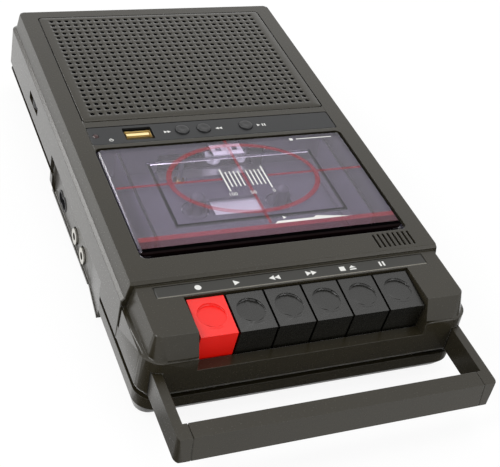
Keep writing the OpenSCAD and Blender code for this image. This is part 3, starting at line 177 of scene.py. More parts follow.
def pierced_cell(side, radius, rim, top, low, points):
    """One square of the panel with a round hole in it, from the rim down to the underside."""
    quarter = math.tau / 4
    turns = [(i + 0.5) / points * math.tau for i in range(points)]
    square = []
    for a in turns:
        reach = side / 2 / max(abs(math.cos(a)), abs(math.sin(a)))
        corner = round((a - quarter / 2) / quarter) * quarter + quarter / 2
        if abs(a - corner) < math.tau / points * 0.6:
            a, reach = corner, side / math.sqrt(2)
        square.append((reach * math.cos(a), reach * math.sin(a)))
    outlines = [[(x, y, top) for x, y in square]]
    for r, z in ((radius + rim, top), (radius, top - rim), (radius, low)):
        outlines.append([(r * math.cos(a), r * math.sin(a), z) for a in turns])
    outlines.append([(x, y, low) for x, y in square])
    form = bmesh.new()
    rings = [[form.verts.new(p) for p in outline] for outline in outlines]
    for a, b in zip(rings, rings[1:]):
        for i in range(points):
            j = (i + 1) % points
            form.faces.new((a[i], a[j], b[j], b[i]))
    mesh = bpy.data.meshes.new("grille_cell")
    form.to_mesh(mesh)
    form.free()
    mesh.shade_smooth()
    mesh.set_sharp_from_angle(angle=grille_crease)
    return bpy.data.objects.new("grille_cell", mesh)


def rounded_outline(x0, x1, y0, y1, r, steps):
    """Points round a rectangle with round corners, anticlockwise."""
    points = []
    centres = ((x1 - r, y1 - r), (x0 + r, y1 - r), (x0 + r, y0 + r), (x1 - r, y0 + r))
    for k, (x, y) in enumerate(centres):
        for i in range(steps + 1):
            a = (k + i / steps) * math.tau / 4
            points.append((x + r * math.cos(a), y + r * math.sin(a)))
    return points


def grille_border():
    """The plain margin of the panel round its field of holes, with a soft top edge."""
    form = bmesh.new()
    x0, y0, z0 = grille_low
    x1, y1, z1 = grille_high
    r, soft, steps, weld = 1.5 * MM, 0.35 * MM, 4, 0.001 * MM
    rings = []
    for inset, z in ((0, z0), (0, z1 - soft), (soft * 0.3, z1 - soft * 0.3), (soft, z1)):
        ring = rounded_outline(x0 + inset, x1 - inset, y0 + inset, y1 - inset, r - inset, steps)
        rings.append([form.verts.new((x, y, z)) for x, y in ring])
    for z, source in ((z1, rings[-1]), (z0, rings[0])):
        inner = []
        for v in source:
            x = max(-half_x, min(half_x, v.co.x))
            y = max(field_y - half_y, min(field_y + half_y, v.co.y))
            inner.append(form.verts.new((x, y, z)))
        rings.append(inner)
    count = len(rings[0])
    for a, b in ((0, 1), (1, 2), (2, 3), (3, 4), (5, 0)):
        for i in range(count):
            j = (i + 1) % count
            form.faces.new((rings[a][i], rings[a][j], rings[b][j], rings[b][i]))
    bmesh.ops.remove_doubles(form, verts=form.verts, dist=weld)
    mesh = bpy.data.meshes.new("speaker_grille_panel")
    form.to_mesh(mesh)
    form.free()
    mesh.shade_smooth()
    mesh.set_sharp_from_angle(angle=grille_crease)
    piece = bpy.data.objects.new("speaker_grille_panel", mesh)
    bpy.context.collection.objects.link(piece)
    return piece


def repeat_tree(name):
    """A tree that lays one shape on a grid and joins it to the base piece."""
    tree = bpy.data.node_groups.new(name, "GeometryNodeTree")
    face = tree.interface
    sockets = {}
    for label, kind in (("Base", "NodeSocketGeometry"), ("Shape", "NodeSocketObject"),
                        ("Columns", "NodeSocketInt"), ("Rows", "NodeSocketInt"),
                        ("Pitch X", "NodeSocketFloat"), ("Pitch Y", "NodeSocketFloat"),
                        ("Centre", "NodeSocketVector"), ("Finish", "NodeSocketMaterial")):
        sockets[label] = face.new_socket(label, in_out="INPUT", socket_type=kind).identifier
    face.new_socket("Piece", in_out="OUTPUT", socket_type="NodeSocketGeometry")
    start = add(tree, "NodeGroupInput").outputs
    one_less = [add(tree, "ShaderNodeMath", {1: 1}, {0: start[n]}, operation="SUBTRACT")
                for n in ("Columns", "Rows")]
    spans = [add(tree, "ShaderNodeMath", {}, {0: n.outputs[0], 1: start[p]}, operation="MULTIPLY")
             for n, p in zip(one_less, ("Pitch X", "Pitch Y"))]
    grid = add(tree, "GeometryNodeMeshGrid", {},
               {"Size X": spans[0].outputs[0], "Size Y": spans[1].outputs[0],
                "Vertices X": start["Columns"], "Vertices Y": start["Rows"]})
    placed = add(tree, "GeometryNodeTransform", {},
                 {"Geometry": grid.outputs["Mesh"], "Translation": start["Centre"]})
    shape = add(tree, "GeometryNodeObjectInfo", {}, {"Object": start["Shape"]})
    laid = add(tree, "GeometryNodeInstanceOnPoints", {},
               {"Points": placed.outputs["Geometry"], "Instance": shape.outputs["Geometry"]})
    joined = add(tree, "GeometryNodeJoinGeometry", {}, {"Geometry": laid.outputs["Instances"]})
    tree.links.new(start["Base"], joined.inputs["Geometry"])
    real = add(tree, "GeometryNodeRealizeInstances", {}, {"Geometry": joined.outputs["Geometry"]})
    welded = add(tree, "GeometryNodeMergeByDistance", {"Distance": 0.002 * MM},
                 {"Geometry": real.outputs["Geometry"]})
    coated = add(tree, "GeometryNodeSetMaterial", {},
                 {"Geometry": welded.outputs["Geometry"], "Material": start["Finish"]})
    add(tree, "NodeGroupOutput", {}, {"Piece": coated.outputs["Geometry"]})
    return tree, sockets


def repeated(piece, shape, counts, pitches, centre, material):
    """The base piece with the shape laid over it on a grid, as plain mesh."""
    tree, sockets = repeat_tree(piece.name + "_layout")
    layout = piece.modifiers.new("layout", "NODES")
    layout.node_group = tree
    for label, value in (("Shape", shape), ("Columns", counts[0]), ("Rows", counts[1]),
                         ("Pitch X", pitches[0]), ("Pitch Y", pitches[1]), ("Centre", centre),
                         ("Finish", material)):
        layout[sockets[label]] = value
    settled(piece)
    bpy.data.objects.remove(shape)
    return piece


# The case's plastic again, but the holes have crisp edges.
pierced_abs = case_abs.copy()
pierced_abs.name = "matt_olive_grey_abs_pierced"
pierced_abs.node_tree.nodes["Bevel"].inputs["Radius"].default_value = 0.04 * MM
cell = pierced_cell(hole_pitch, hole_r, hole_rim, grille_high.z, grille_low.z, hole_sides)
panel = repeated(grille_border(), cell, (columns, rows), (hole_pitch, hole_pitch), (0, field_y, 0),
                 pierced_abs)
fitted(panel, pierced_abs, "case", "case_plastic", "speaker_grille")
# The holes' walls get painted shade, as black as the cloth below them, since little light comes back from
# inside the holes.
painted_shade_abs = moulded_plastic("painted_shade_black_abs", "#040404", "#070707", rough=0.8, grain=0.7, depth=0.01,
                             gloss=0.1)
panel.data.materials.append(painted_shade_abs)
for face in panel.data.polygons:
    in_field = abs(face.center.x) < half_x and abs(face.center.y - field_y) < half_y
    if in_field and abs(face.normal.z) < wall_lean:
        face.material_index = 1
# The seats of the grille and of the control panel get the same painted shade, which shows as a black line
# round them.
seat_round, seat_below, deck_skin = 1.2 * MM, 1.0 * MM, 0.05 * MM
top_half.data.materials.append(painted_shade_abs)
for seated in ("speaker_grille", "control_panel"):
    seat_low, seat_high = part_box(seated)
    for face in top_half.data.polygons:
        in_x = seat_low.x - seat_round < face.center.x < seat_high.x + seat_round
        in_y = seat_low.y - seat_round < face.center.y < seat_high.y + seat_round
        if in_x and in_y and seat_low.z - seat_below < face.center.z < seat_high.z - deck_skin:
            face.material_index = 1

# Dust cloth and loudspeaker under the grille: a black woven cloth glued across the opening, then a
# pressed-steel basket with a paper-pulp cone and a ferrite ring magnet.


def painted(material, *nodes):
    """CAD nodes that keep their shape, in a finer material."""
    for node in nodes:
        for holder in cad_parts[node].material_slots:
            holder.material = material


def woven_cloth(name, dark, light, thread):
    """Plain-woven cloth: two sets of threads, with the light caught on their crowns. The thread is in
    millimetres."""
    made = bpy.data.materials.new(name)
    made.use_nodes = True
    tree = made.node_tree
    shader = tree.nodes["Principled BSDF"]
    shader.inputs["Roughness"].default_value = 0.95
    shader.inputs["Specular IOR Level"].default_value = 0.1
    place = add(tree, "ShaderNodeTexCoord").outputs["Object"]
    wave_length = math.tau / 20  # of this texture at a scale of 1
    wave_scale = wave_length / (thread * MM)
    threads = [add(tree, "ShaderNodeTexWave", {"Scale": wave_scale}, {"Vector": place}, bands_direction=d)
               for d in ("X", "Y")]
    crown = add(tree, "ShaderNodeMath", {}, {0: threads[0].outputs["Fac"], 1: threads[1].outputs["Fac"]},
                operation="MAXIMUM")
    colour = add(tree, "ShaderNodeMix", {6: linear(dark), 7: linear(light)}, {0: crown.outputs[0]},
                 data_type="RGBA")
    tree.links.new(colour.outputs[2], shader.inputs["Base Color"])
    bump = add(tree, "ShaderNodeBump", {"Strength": 0.6, "Distance": 0.1 * MM}, {"Height": crown.outputs[0]})
    tree.links.new(bump.outputs["Normal"], shader.inputs["Normal"])
    return made


def worked_metal(name, dark, light, rough, lines, depth):
    """Metal with the fine scratches of its making, drawn out along X. Lines and depth are in millimetres."""
    shine_spread, drawn_out = 0.08, 0.06
    made = bpy.data.materials.new(name)
    made.use_nodes = True
    tree = made.node_tree
    shader = tree.nodes["Principled BSDF"]
    shader.inputs["Metallic"].default_value = 1
    place = add(tree, "ShaderNodeTexCoord").outputs["Object"]
    drawn = add(tree, "ShaderNodeMapping", {"Scale": (drawn_out, 1, 1)}, {"Vector": place})
    marks = add(tree, "ShaderNodeTexNoise", {"Scale": 1 / (lines * MM), "Detail": 3},
                {"Vector": drawn.outputs[0]})
    colour = add(tree, "ShaderNodeMix", {6: linear(dark), 7: linear(light)}, {0: marks.outputs["Fac"]},
                 data_type="RGBA")
    tree.links.new(colour.outputs[2], shader.inputs["Base Color"])
    shine = add(tree, "ShaderNodeMapRange", {"To Min": rough - shine_spread, "To Max": rough + shine_spread},
                {"Value": marks.outputs["Fac"]})
    tree.links.new(shine.outputs["Result"], shader.inputs["Roughness"])
    bump = add(tree, "ShaderNodeBump", {"Strength": 0.3, "Distance": depth * MM},
               {"Height": marks.outputs["Fac"]})
    tree.links.new(bump.outputs["Normal"], shader.inputs["Normal"])
    return made


painted(woven_cloth("black_woven_dust_cloth", "#060606", "#161616", thread=0.5), "dust_cloth")
# Rolling scratches are some hundredths of a millimetre wide; drawn at 0.3 to 0.6 mm on all metals here.
pressed_steel = worked_metal("zinc_plated_pressed_steel", "#dcdee0", "#f2f3f3", rough=0.35, lines=0.6,
                             depth=0.01)
painted(pressed_steel, "speaker_basket")
pulp = moulded_plastic("black_paper_pulp_cone", "#141312", "#23211f", rough=0.9, grain=0.9, depth=0.15,
                       gloss=0.2)
painted(pulp, "speaker_cone")
ferrite = moulded_plastic("sintered_ferrite", "#232326", "#34343a", rough=0.6, grain=0.5, depth=0.03)
painted(ferrite, "speaker_magnet")

# Control panel: a separate moulded strip, a cooler and darker grey than the case, pressed into the deck.
# Three round keys, a socket with a gilt shell and a red lamp come through it, and its signs are pad-printed
# in white.


def grooved(form):
    """Chamfers the outer top edge of a flat strip, so that a fine groove shows round it."""
    inset, edge_band, near = 0.4 * MM, 0.35 * MM, 0.01 * MM
    xs, ys, zs = ([v.co[i] for v in form.verts] for i in range(3))
    bmesh.ops.bisect_plane(form, geom=form.verts[:] + form.edges[:] + form.faces[:],
                           plane_co=(0, 0, max(zs) - inset), plane_no=(0, 0, 1))
    centre = Vector(((min(xs) + max(xs)) / 2, (min(ys) + max(ys)) / 2))
    reach = Vector((max(xs), max(ys))) - centre
    for v in form.verts:
        off = v.co.xy - centre
        to_edge = min(reach.x - abs(off.x), reach.y - abs(off.y))
        if max(zs) - v.co.z < near and to_edge < edge_band:
            v.co.x -= off.x / reach.x * inset
            v.co.y -= off.y / reach.y * inset


panel_abs = moulded_plastic("satin_blue_grey_abs", "#1e1f20", "#272829", rough=0.32, grain=0.6, depth=0.03,
                            gloss=0.36)
fitted(moulding("control_panel", grooved), panel_abs, "case", "panel_plastic", "control_panel")
button_abs = moulded_plastic("polished_black_abs_buttons", "#1d1d1e", "#262626", rough=0.3, grain=0.8,
                             depth=0.02)
for name in ("forward_button", "rewind_button", "play_button"):
    fitted(moulding(name), button_abs, name, "key_plastic", name)
gilt = worked_metal("gilt_socket_shell", "#f4dc98", "#fff3cc", rough=0.5, lines=0.5, depth=0.01)
socket = fitted(moulding("usb_socket"), gilt, "case", "brass", "usb_socket")
# The shell's rim gets painted shade, near black like the dark opening, and the bright tongue shows inside it.
socket_shade_rim = moulded_plastic("socket_rim_painted_shade", "#0a0a0b", "#111112", rough=0.6, grain=0.8, depth=0.02,
                           gloss=0.2)
socket.data.materials.append(socket_shade_rim)
rim_z, rim_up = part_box("usb_socket")[1].z - 0.1 * MM, 0.5
for face in socket.data.polygons:
    if face.normal.z > rim_up and face.center.z > rim_z:
        face.material_index = 1

lamp_lens = moulded_plastic("dark_red_lamp_lens", "#2a0807", "#380b09", rough=0.15, grain=1.0, depth=0.0)
painted(lamp_lens, "power_light")


def printed(name, shapes, top, material, body, slot):
    """Flat ink and painted shade: outlines in millimetres laid just above a surface. Holes aren't needed in
    these signs.
    """
    form = bmesh.new()
    for shape in shapes:
        corners = [form.verts.new((x * MM, y * MM, top)) for x, y in shape]
        form.faces.new(corners)
    bmesh.ops.recalc_face_normals(form, faces=form.faces)
    for face in form.faces:
        if face.normal.z < 0:
            face.normal_flip()
    bmesh.ops.triangulate(form, faces=[f for f in form.faces if len(f.verts) > 4])
    mesh = bpy.data.meshes.new(name)
    form.to_mesh(mesh)
    form.free()
    piece = bpy.data.objects.new(name, mesh)
    bpy.context.collection.objects.link(piece)
    return fitted(piece, material, body, slot)


def bar(x0, x1, y0, y1):
    """A rectangle."""
    return [(x0, y0), (x1, y0), (x1, y1), (x0, y1)]


def arrow(x, y, size, way=1):
    """A triangle that points along X."""
    half_l = way * size * 0.45
    return [(x - half_l, y - size / 2), (x + half_l, y), (x - half_l, y + size / 2)]


def disc(x, y, r, steps=24):
    """A round spot."""
    turns = [i / steps * math.tau for i in range(steps)]
    return [(x + r * math.cos(a), y + r * math.sin(a)) for a in turns]


def band(x, y, rx, ry, width, steps, start=0.0, end=1.0):
    """Quads round part of an ellipse."""
    shapes = []
    for i in range(steps):
        a, b = ((start + (end - start) * k / steps) * math.tau for k in (i, i + 1))
        shapes.append([(x + (rx + s * width / 2) * math.cos(t), y + (ry + s * width / 2) * math.sin(t))
                       for s, t in ((-1, a), (1, a), (1, b), (-1, b))])
    return shapes


INK = 0.02 * MM
printed_white = moulded_plastic("white_pad_print", "#dededa", "#f2f2ee", rough=0.6, grain=0.4, depth=0.01)
power_x, power_y, power_r, power_line = -53.2, 21.6, 0.85, 0.35
sign_h, wind_y, play_y = 1.9, 24.9, 25.1
signs = band(power_x, power_y, power_r, power_r, power_line, 20, 0.34, 1.16)
signs += [bar(power_x - 0.2, power_x + 0.2, power_y + 0.1, power_y + 1.2)]
signs += [arrow(x, wind_y, sign_h) for x in (-25.6, -23.9)]
signs += [arrow(x, wind_y, sign_h, -1) for x in (0.6, 2.3)]
signs += [arrow(22.6, play_y, sign_h)]
signs += [bar(x, x + 0.6, play_y - sign_h / 2, play_y + sign_h / 2) for x in (24.4, 25.6)]
panel_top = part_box("control_panel")[1].z + INK
printed("control_panel_signs", signs, panel_top, printed_white, "case", "panel_plastic")

# Cassette well and chassis: a dark grey moulded tray under the door, with openings over a bright steel plate
# that carries the nylon spindles, the capstan and the sliding plate of the tape heads.
well_abs = moulded_plastic("dark_grey_abs_tray", "#413e49", "#4e4a57", rough=0.5, grain=0.8, depth=0.05)
fitted(moulding("cassette_well"), well_abs, "case", "black_plastic", "cassette_well")
bright_plate = worked_metal("bright_zinc_plate", "#eceded", "#fbfbfb", rough=0.42, lines=0.6, depth=0.01)
painted(bright_plate, "chassis_plate")
painted(pressed_steel, "flywheel_bracket", "key_shaft", "door_pins")
black_steel = worked_metal("black_phosphated_steel", "#2b2a2c", "#3b393c", rough=0.45, lines=0.6, depth=0.01)
painted(black_steel, "head_plate")
black_abs = moulded_plastic("black_abs", "#101011", "#19191b", rough=0.45, grain=0.8, depth=0.04)
painted(black_abs, "door_latch")
spindle_nylon = moulded_plastic("dark_grey_nylon", "#403d47", "#4b4852", rough=0.45, grain=1.2, depth=0.03)
for name in ("supply_spindle", "takeup_spindle"):
    fitted(moulding(name), spindle_nylon, name, "white_nylon", name)
head_metal = worked_metal("ground_head_metal", "#b9bbbd", "#d9dadb", rough=0.15, lines=0.3, depth=0.005)
painted(head_metal, "tape_heads")
rubber = moulded_plastic("black_moulded_rubber", "#111111", "#1b1b1b", rough=0.75, grain=0.9, depth=0.06,
                         gloss=0.3)
painted(rubber, "pinch_roller", "main_belt", "takeup_belt", "feet")

# Cassette door: clear smoked polystyrene, moulded in one plate, hinged along its front edge on two pins.
# Rails fixed under it hold the cassette, and its top carries red and white marks, silk-screened.
lid_low, lid_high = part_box("door_window")
plate_low = lid_high.z - 2.2 * MM
hair, near = 0.03 * MM, 0.01 * MM


def smoked_styrene(name, tint, veil):
    """Clear styrene with a smoke dye: sharp reflections, a milky veil of fine scratches, and light let
    through. Polystyrene's IOR is 1.59; a lower one holds back the haze of the white room."""
    made = bpy.data.materials.new(name)
    made.use_nodes = True
    tree = made.node_tree
    shader = tree.nodes["Principled BSDF"]
    shader.inputs["IOR"].default_value = 1.42
    shader.inputs["Transmission Weight"].default_value = 1 - veil
    shader.inputs["Base Color"].default_value = linear(tint)
    place = add(tree, "ShaderNodeTexCoord").outputs["Object"]
    haze = add(tree, "ShaderNodeTexNoise", {"Scale": 1 / (14 * MM), "Detail": 5}, {"Vector": place})
    shine = add(tree, "ShaderNodeMapRange", {"To Min": 0.02, "To Max": 0.08}, {"Value": haze.outputs["Fac"]})
    tree.links.new(shine.outputs["Result"], shader.inputs["Roughness"])
    shade = add(tree, "ShaderNodeBsdfTransparent", {"Color": linear(tint)})
    in_shadow = add(tree, "ShaderNodeLightPath").outputs["Is Shadow Ray"]
    passed = add(tree, "ShaderNodeMixShader", {}, {0: in_shadow, 1: shader.outputs[0], 2: shade.outputs[0]})
    tree.links.new(passed.outputs[0], tree.nodes["Material Output"].inputs["Surface"])
    return made


def below_plate(form):
    """Parts a piece from the plate that it is fixed to by a hair, so that the two faces don't show as one."""
    top = max(v.co.z for v in form.verts)
    for v in form.verts:
        if top - v.co.z < near:
            v.co.z -= hair


smoked = smoked_styrene("smoked_clear_polystyrene", "#ece6f4", veil=0.03)
window = fitted(moulding("door_window"), smoked, "door", "smoked_clear", "door_window")
# Along its edges the eye looks through the dye for centimetres, so the plate's rim gets painted shade: black
# there, and nearly black with some red at the front. The ribs that the cassette rests on get black painted
# shade.
lid_shade_black = moulded_plastic("smoked_polystyrene_painted_shade", "#09080b", "#100e13", rough=0.25, grain=0.8, depth=0.01,
                           gloss=0.3)
lid_shade_red = moulded_plastic("smoked_polystyrene_painted_red_shade", "#0c0405", "#140607", rough=0.5, grain=0.8,
                          depth=0.01, gloss=0.05)
for finish in (lid_shade_black, lid_shade_red):
    window.data.materials.append(finish)
front_edge_y = lid_low.y + 1.8 * MM
rib_low, rib_high, rib_reach = plate_low - 1.05 * MM, plate_low - near, 41.6 * MM
shaded_ribs_y = lid_high.y - 12.4 * MM
for face in window.data.polygons:
    x, y, z = face.center
    across, along, up = face.normal
    on_plate = z > plate_low
    on_rib = rib_low < z < rib_high and abs(x) < rib_reach and y < shaded_ribs_y
    if y < front_edge_y and (z < plate_low or along < -wall_lean):
        face.material_index = 2
    elif on_rib or across > wall_lean or on_plate and (abs(up) < wall_lean or along > wall_lean):
        face.material_index = 1
# The rails are the tray's grey; where they are cemented to the plate no light comes back, so those faces get
# black painted shade.
rails = fitted(moulding("guide_rails", below_plate), well_abs, "door", "black_plastic", "guide_rails")
rails.data.materials.append(moulded_plastic("cemented_face_painted_shade", "#010101", "#020202", rough=0.9, grain=0.8,
                                            depth=0.0, gloss=0.0))
cemented_z = plate_low - 0.05 * MM
for face in rails.data.polygons:
    if face.center.z > cemented_z:
        face.material_index = 1
tinned_steel = worked_metal("bright_tinned_steel", "#f4f1f4", "#ffffff", rough=0.3, lines=0.6, depth=0.01)
fitted(moulding("door_catch", below_plate), tinned_steel, "door", "steel", "door_catch")

# The red ink and the maroon painted shade are thin enough to see through; the white ink and the black painted
# shade are not.
printed_red = moulded_plastic("thin_red_screen_ink", "#a82026", "#c22a2c", rough=0.4, grain=0.4, depth=0.01)
printed_red.node_tree.nodes["Principled BSDF"].inputs["Alpha"].default_value = 0.4
edge_shade_maroon = moulded_plastic("thin_maroon_painted_shade", "#4a1622", "#5a1c2a", rough=0.4, grain=0.4,
                                 depth=0.01)
edge_shade_maroon.node_tree.nodes["Principled BSDF"].inputs["Alpha"].default_value = 0.6
edge_shade_black = moulded_plastic("matt_black_painted_shade", "#030303", "#060506", rough=0.9, grain=0.4,
                                depth=0.0, gloss=0.0)
lid_top = lid_high.z + INK
mid_x, mid_y, line_half = 0.6, -13.9, 0.7
ring_x, ring_rx, ring_ry, ring_line, ring_steps = 0.4, 36, 24.5, 2.4, 96
print_half, front_band = 61.2, (-50.4, -47.6)
red_marks = band(ring_x, mid_y, ring_rx, ring_ry, ring_line, ring_steps)
red_marks += [bar(x0, x1, mid_y - line_half, mid_y + line_half)
              for x0, x1 in ((-60.8, -36.5), (-35.5, -10.6), (12.2, 35.8), (37.2, 60.8))]
red_marks += [bar(mid_x - line_half, mid_x + line_half, y0, y1) for y0, y1 in ((-47.0, 9.6), (11.5, 14.6))]
red_marks += [bar(-print_half, print_half, *front_band)]
printed("door_red_marks", red_marks, lid_top, printed_red, "door", "red_plastic")
# The lid's front edge gets black painted shade, so that it runs into the dark recess in front of it, with a
# band of maroon painted shade behind it, where the red band shows through the edge.
edge_y0, edge_y1 = lid_low.y / MM + 0.9, lid_low.y / MM + 2.9
printed("door_front_tint", [bar(-print_half, print_half, edge_y1, front_band[0])], lid_top, edge_shade_maroon,
        "door", "red_plastic")
printed("door_front_edge", [bar(-print_half, print_half, edge_y0, edge_y1)], lid_top, edge_shade_black,
        "door", "black_plastic")

# A scale with a long mark at each end, none in the middle where the red line runs, and plain figures below.
scale_start, scale_step, scale_last, scale_middle = -9.7, 2.06, 10, 5
white_marks = []
for i in range(scale_last + 1):
    x = scale_start + scale_step * i
    if i in (0, scale_last):
        white_marks.append(bar(x - 0.4, x + 0.4, -23, -6.8))
    elif i != scale_middle:
        white_marks.append(bar(x - 0.35, x + 0.35, -20, -8.9))
front_pointer = [(2.4, -47.7), (39.5, -47.7), (23.5, -45.0), (22.0, -46.2), (4.2, -46.2)]
rear_spot, rear_line = bar(33.6, 35.4, 10.6, 12.4), bar(37.2, 56.4, 11.2, 11.8)
white_marks += [front_pointer, arrow(8.4, -44.2, 2.0), rear_spot, rear_line]
printed("door_white_marks", white_marks, lid_top + INK, printed_white, "door", "panel_plastic")


def numerals(name, figures, size, top, material, body, slot):
    """Plain figures, drawn as flat ink. Size and places are in millimetres."""
    form = bmesh.new()
    for text, x, y in figures:
        curve = bpy.data.curves.new(name, "FONT")
        curve.body = text
        curve.size = size * MM
        curve.align_x = "CENTER"
        curve.align_y = "CENTER"
        holder = bpy.data.objects.new(name, curve)
        bpy.context.collection.objects.link(holder)
        flat = bpy.data.meshes.new_from_object(holder.evaluated_get(bpy.context.evaluated_depsgraph_get()))
        flat.transform(Matrix.Translation((x * MM, y * MM, top)))
        form.from_mesh(flat)
        bpy.data.objects.remove(holder)
        bpy.data.meshes.remove(flat)
    mesh = bpy.data.meshes.new(name)
    form.to_mesh(mesh)
    form.free()
    piece = bpy.data.objects.new(name, mesh)
    bpy.context.collection.objects.link(piece)
    return fitted(piece, material, body, slot)


figure_y, figure_h = -25.2, 3.0
scale_figures = (("100", -9.4, figure_y), ("50", 0.6, figure_y), ("0", 10.9, figure_y))
numerals("door_figures", scale_figures, figure_h, lid_top + INK, printed_white, "door", "panel_plastic")

# Piano keys: six ABS levers on one steel shaft, each with a round thumb scoop in its cap. The first is satin
# red, the others are nearly black, and all have softened edges.
key_abs = moulded_plastic("matt_black_abs_keys", "#0d0c08", "#14130e", rough=0.28, grain=0.7, depth=0.02,
                          gloss=0.62, edge=0.25)
red_abs = moulded_plastic("satin_red_abs_key", "#f41004", "#ff1a0a", rough=0.35, grain=0.7, depth=0.02,
                          gloss=0.5, edge=0.25)
fitted(moulding("record_key"), red_abs, "record_key", "red_plastic", "record_key")
for name in ("play_key", "rewind_key", "forward_key", "stop_key", "pause_key"):
    fitted(moulding(name), key_abs, name, "key_plastic", name)

# Key springs: one strip of spring steel below the levers, slit into six leaves. Each leaf is a piece of its
# own here, named after its key and cut across into joints.
comb_low, comb_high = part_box("key_spring_comb")
leaf_half, strip_depth, leaf_joints = 3.0 * MM, 4.6 * MM, 6
root_y = comb_high.y - strip_depth - 0.02 * MM


def cut_across(form, y, **drop):
    """Cuts the comb across at y, and closes the cut where one side is dropped."""
    cut = bmesh.ops.bisect_plane(form, geom=form.verts[:] + form.edges[:] + form.faces[:], plane_co=(0, y, 0),
                                 plane_no=(0, 1, 0), **drop)
    if drop:
        rim = [e for e in cut["geom_cut"] if isinstance(e, bmesh.types.BMEdge)]
        bmesh.ops.holes_fill(form, edges=rim)


def root_strip(form):
    """Leaves the strip behind the leaves."""
    cut_across(form, root_y, clear_inner=True)


def one_leaf(leaf_x):
    """What leaves the leaf at leaf_x, with joints across it to bend at."""
    def detail(form):
        cut_across(form, root_y, clear_outer=True)
        others = [v for v in form.verts if abs(v.co.x - leaf_x) > leaf_half]
        bmesh.ops.delete(form, geom=others, context="VERTS")
        for i in range(1, leaf_joints):
            cut_across(form, root_y + (comb_low.y - root_y) * i / leaf_joints)
    return detail


fitted(moulding("key_spring_comb", root_strip), pressed_steel, "case", "steel", "key_spring_comb")
for name in ("record_key", "play_key", "rewind_key", "forward_key", "stop_key", "pause_key"):
    key_low, key_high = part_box(name)
    key_middle = (key_low.x + key_high.x) / 2
    leaf = moulding("key_spring_comb", one_leaf(key_middle))
    leaf.name = name + "_leaf_spring"
    leaf.data.materials.clear()
    leaf.data.materials.append(pressed_steel)
    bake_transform(leaf)

# Label strip: a thin black styrene slip pressed into the key block, with the keys' signs printed in white.
# Its long edges get a pale painted highlight, where they catch the light.
strip_abs = moulded_plastic("satin_black_styrene_strip", "#22211c", "#2b2a24", rough=0.34, grain=0.6,
                            depth=0.03, gloss=0.42)
strip_highlight_edge = moulded_plastic("strip_edge_painted_highlight", "#6f6c62", "#7d796e", rough=0.3, grain=0.6, depth=0.02)
strip = fitted(moulding("label_strip", grooved), strip_abs, "case", "black_plastic", "label_strip")
strip.data.materials.append(strip_highlight_edge)
for face in strip.data.polygons:
    if 0.2 < face.normal.z < 0.95 and abs(face.normal.y) > 0.3:
        face.material_index = 1
key_pitch, sign_shift, line_y, wind_h = 17.1, -1.5, -78.7, 2.8
sign_x = [(i - 2.5) * key_pitch + sign_shift for i in range(6)]
record_x, play_x, rewind_x, forward_x, stop_x, pause_x = sign_x
signs = [disc(record_x, line_y, 1.45), arrow(play_x, line_y, 3.0)]
signs += [arrow(rewind_x + x, line_y, wind_h, -1) for x in (-1.3, 1.2)]
signs += [arrow(forward_x + x, line_y, wind_h) for x in (-1.2, 1.3)]
signs += [bar(stop_x - 3.6, stop_x - 1.0, line_y - 1.3, line_y + 1.3),
          bar(stop_x + 1.0, stop_x + 4.2, line_y - 1.3, line_y - 0.6),
          [(stop_x + 1.0, line_y - 0.1), (stop_x + 4.2, line_y - 0.1), (stop_x + 2.6, line_y + 1.4)]]
signs += [bar(pause_x - 1.3, pause_x - 0.4, line_y - 1.4, line_y + 1.4),
          bar(pause_x + 0.4, pause_x + 1.3, line_y - 1.4, line_y + 1.4)]
strip_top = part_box("label_strip")[1].z + INK
printed("key_signs", signs, strip_top, printed_white, "case", "panel_plastic")

# Handle: two ABS arms that slide in channels of the lower half, and a hollow grip bar between them, with a
# tenon at each end that sits in the arm's end block. The plastic is the case's.
grip_low, grip_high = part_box("handle_grip")
grip_middle = (grip_low + grip_high) / 2
seam_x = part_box("handle_right_arm")[0].x
seam_half, seam_depth, seam_near = 0.35 * MM, 0.5 * MM, 0.02 * MM
core_h, core_front, core_back = 3.6 * MM, -2.0 * MM, 2.4 * MM


def seam(form):
    """Draws in the edges where arm and grip meet, so that their joint shows as a fine groove."""
    for side in (-1, 1):
        for shift in (-seam_half, seam_half):
            bmesh.ops.bisect_plane(form, geom=form.verts[:] + form.edges[:] + form.faces[:],
                                   plane_co=(side * seam_x + shift, 0, 0), plane_no=(1, 0, 0))
        for v in [v for v in form.verts if abs(v.co.x - side * seam_x) < seam_near]:
            off = Vector((0, v.co.y - grip_middle.y, v.co.z - grip_middle.z))
            if abs(off.z) > core_h or off.y < core_front or off.y > core_back:
                v.co -= off * (seam_depth / off.length)


for name in ("handle_left_arm", "handle_right_arm", "handle_grip"):
    fitted(moulding(name, seam), case_abs, "handle", "case_plastic", name)

# Sockets and thumbwheel in the left wall: two nickel-plated jacks, a black inlet with two pins, and a ribbed
# black wheel on the volume control behind a slot.
nickel = worked_metal("nickel_plated_brass", "#b5b2aa", "#dcd9d0", rough=0.2, lines=0.4, depth=0.005)
painted(nickel, "audio_jacks")
painted(black_abs, "mains_inlet", "microphone", "volume_control")
fitted(moulding("volume_wheel"), button_abs, "volume_wheel", "key_plastic", "volume_wheel")

# Transport under the chassis: a can motor and its brass pulley, and a turned zinc flywheel that runs in a
# brass bush. Screws and battery contacts are plated steel like the motor's can.
painted(pressed_steel, "motor", "transport_screws", "case_screws", "battery_contacts")
brass = worked_metal("turned_brass", "#b08a45", "#d6b673", rough=0.28, lines=0.3, depth=0.01)
painted(brass, "motor_pulley", "capstan_bush")
zinc = worked_metal("turned_cast_zinc", "#8f9294", "#b4b7b9", rough=0.35, lines=0.4, depth=0.01)
painted(zinc, "flywheel")

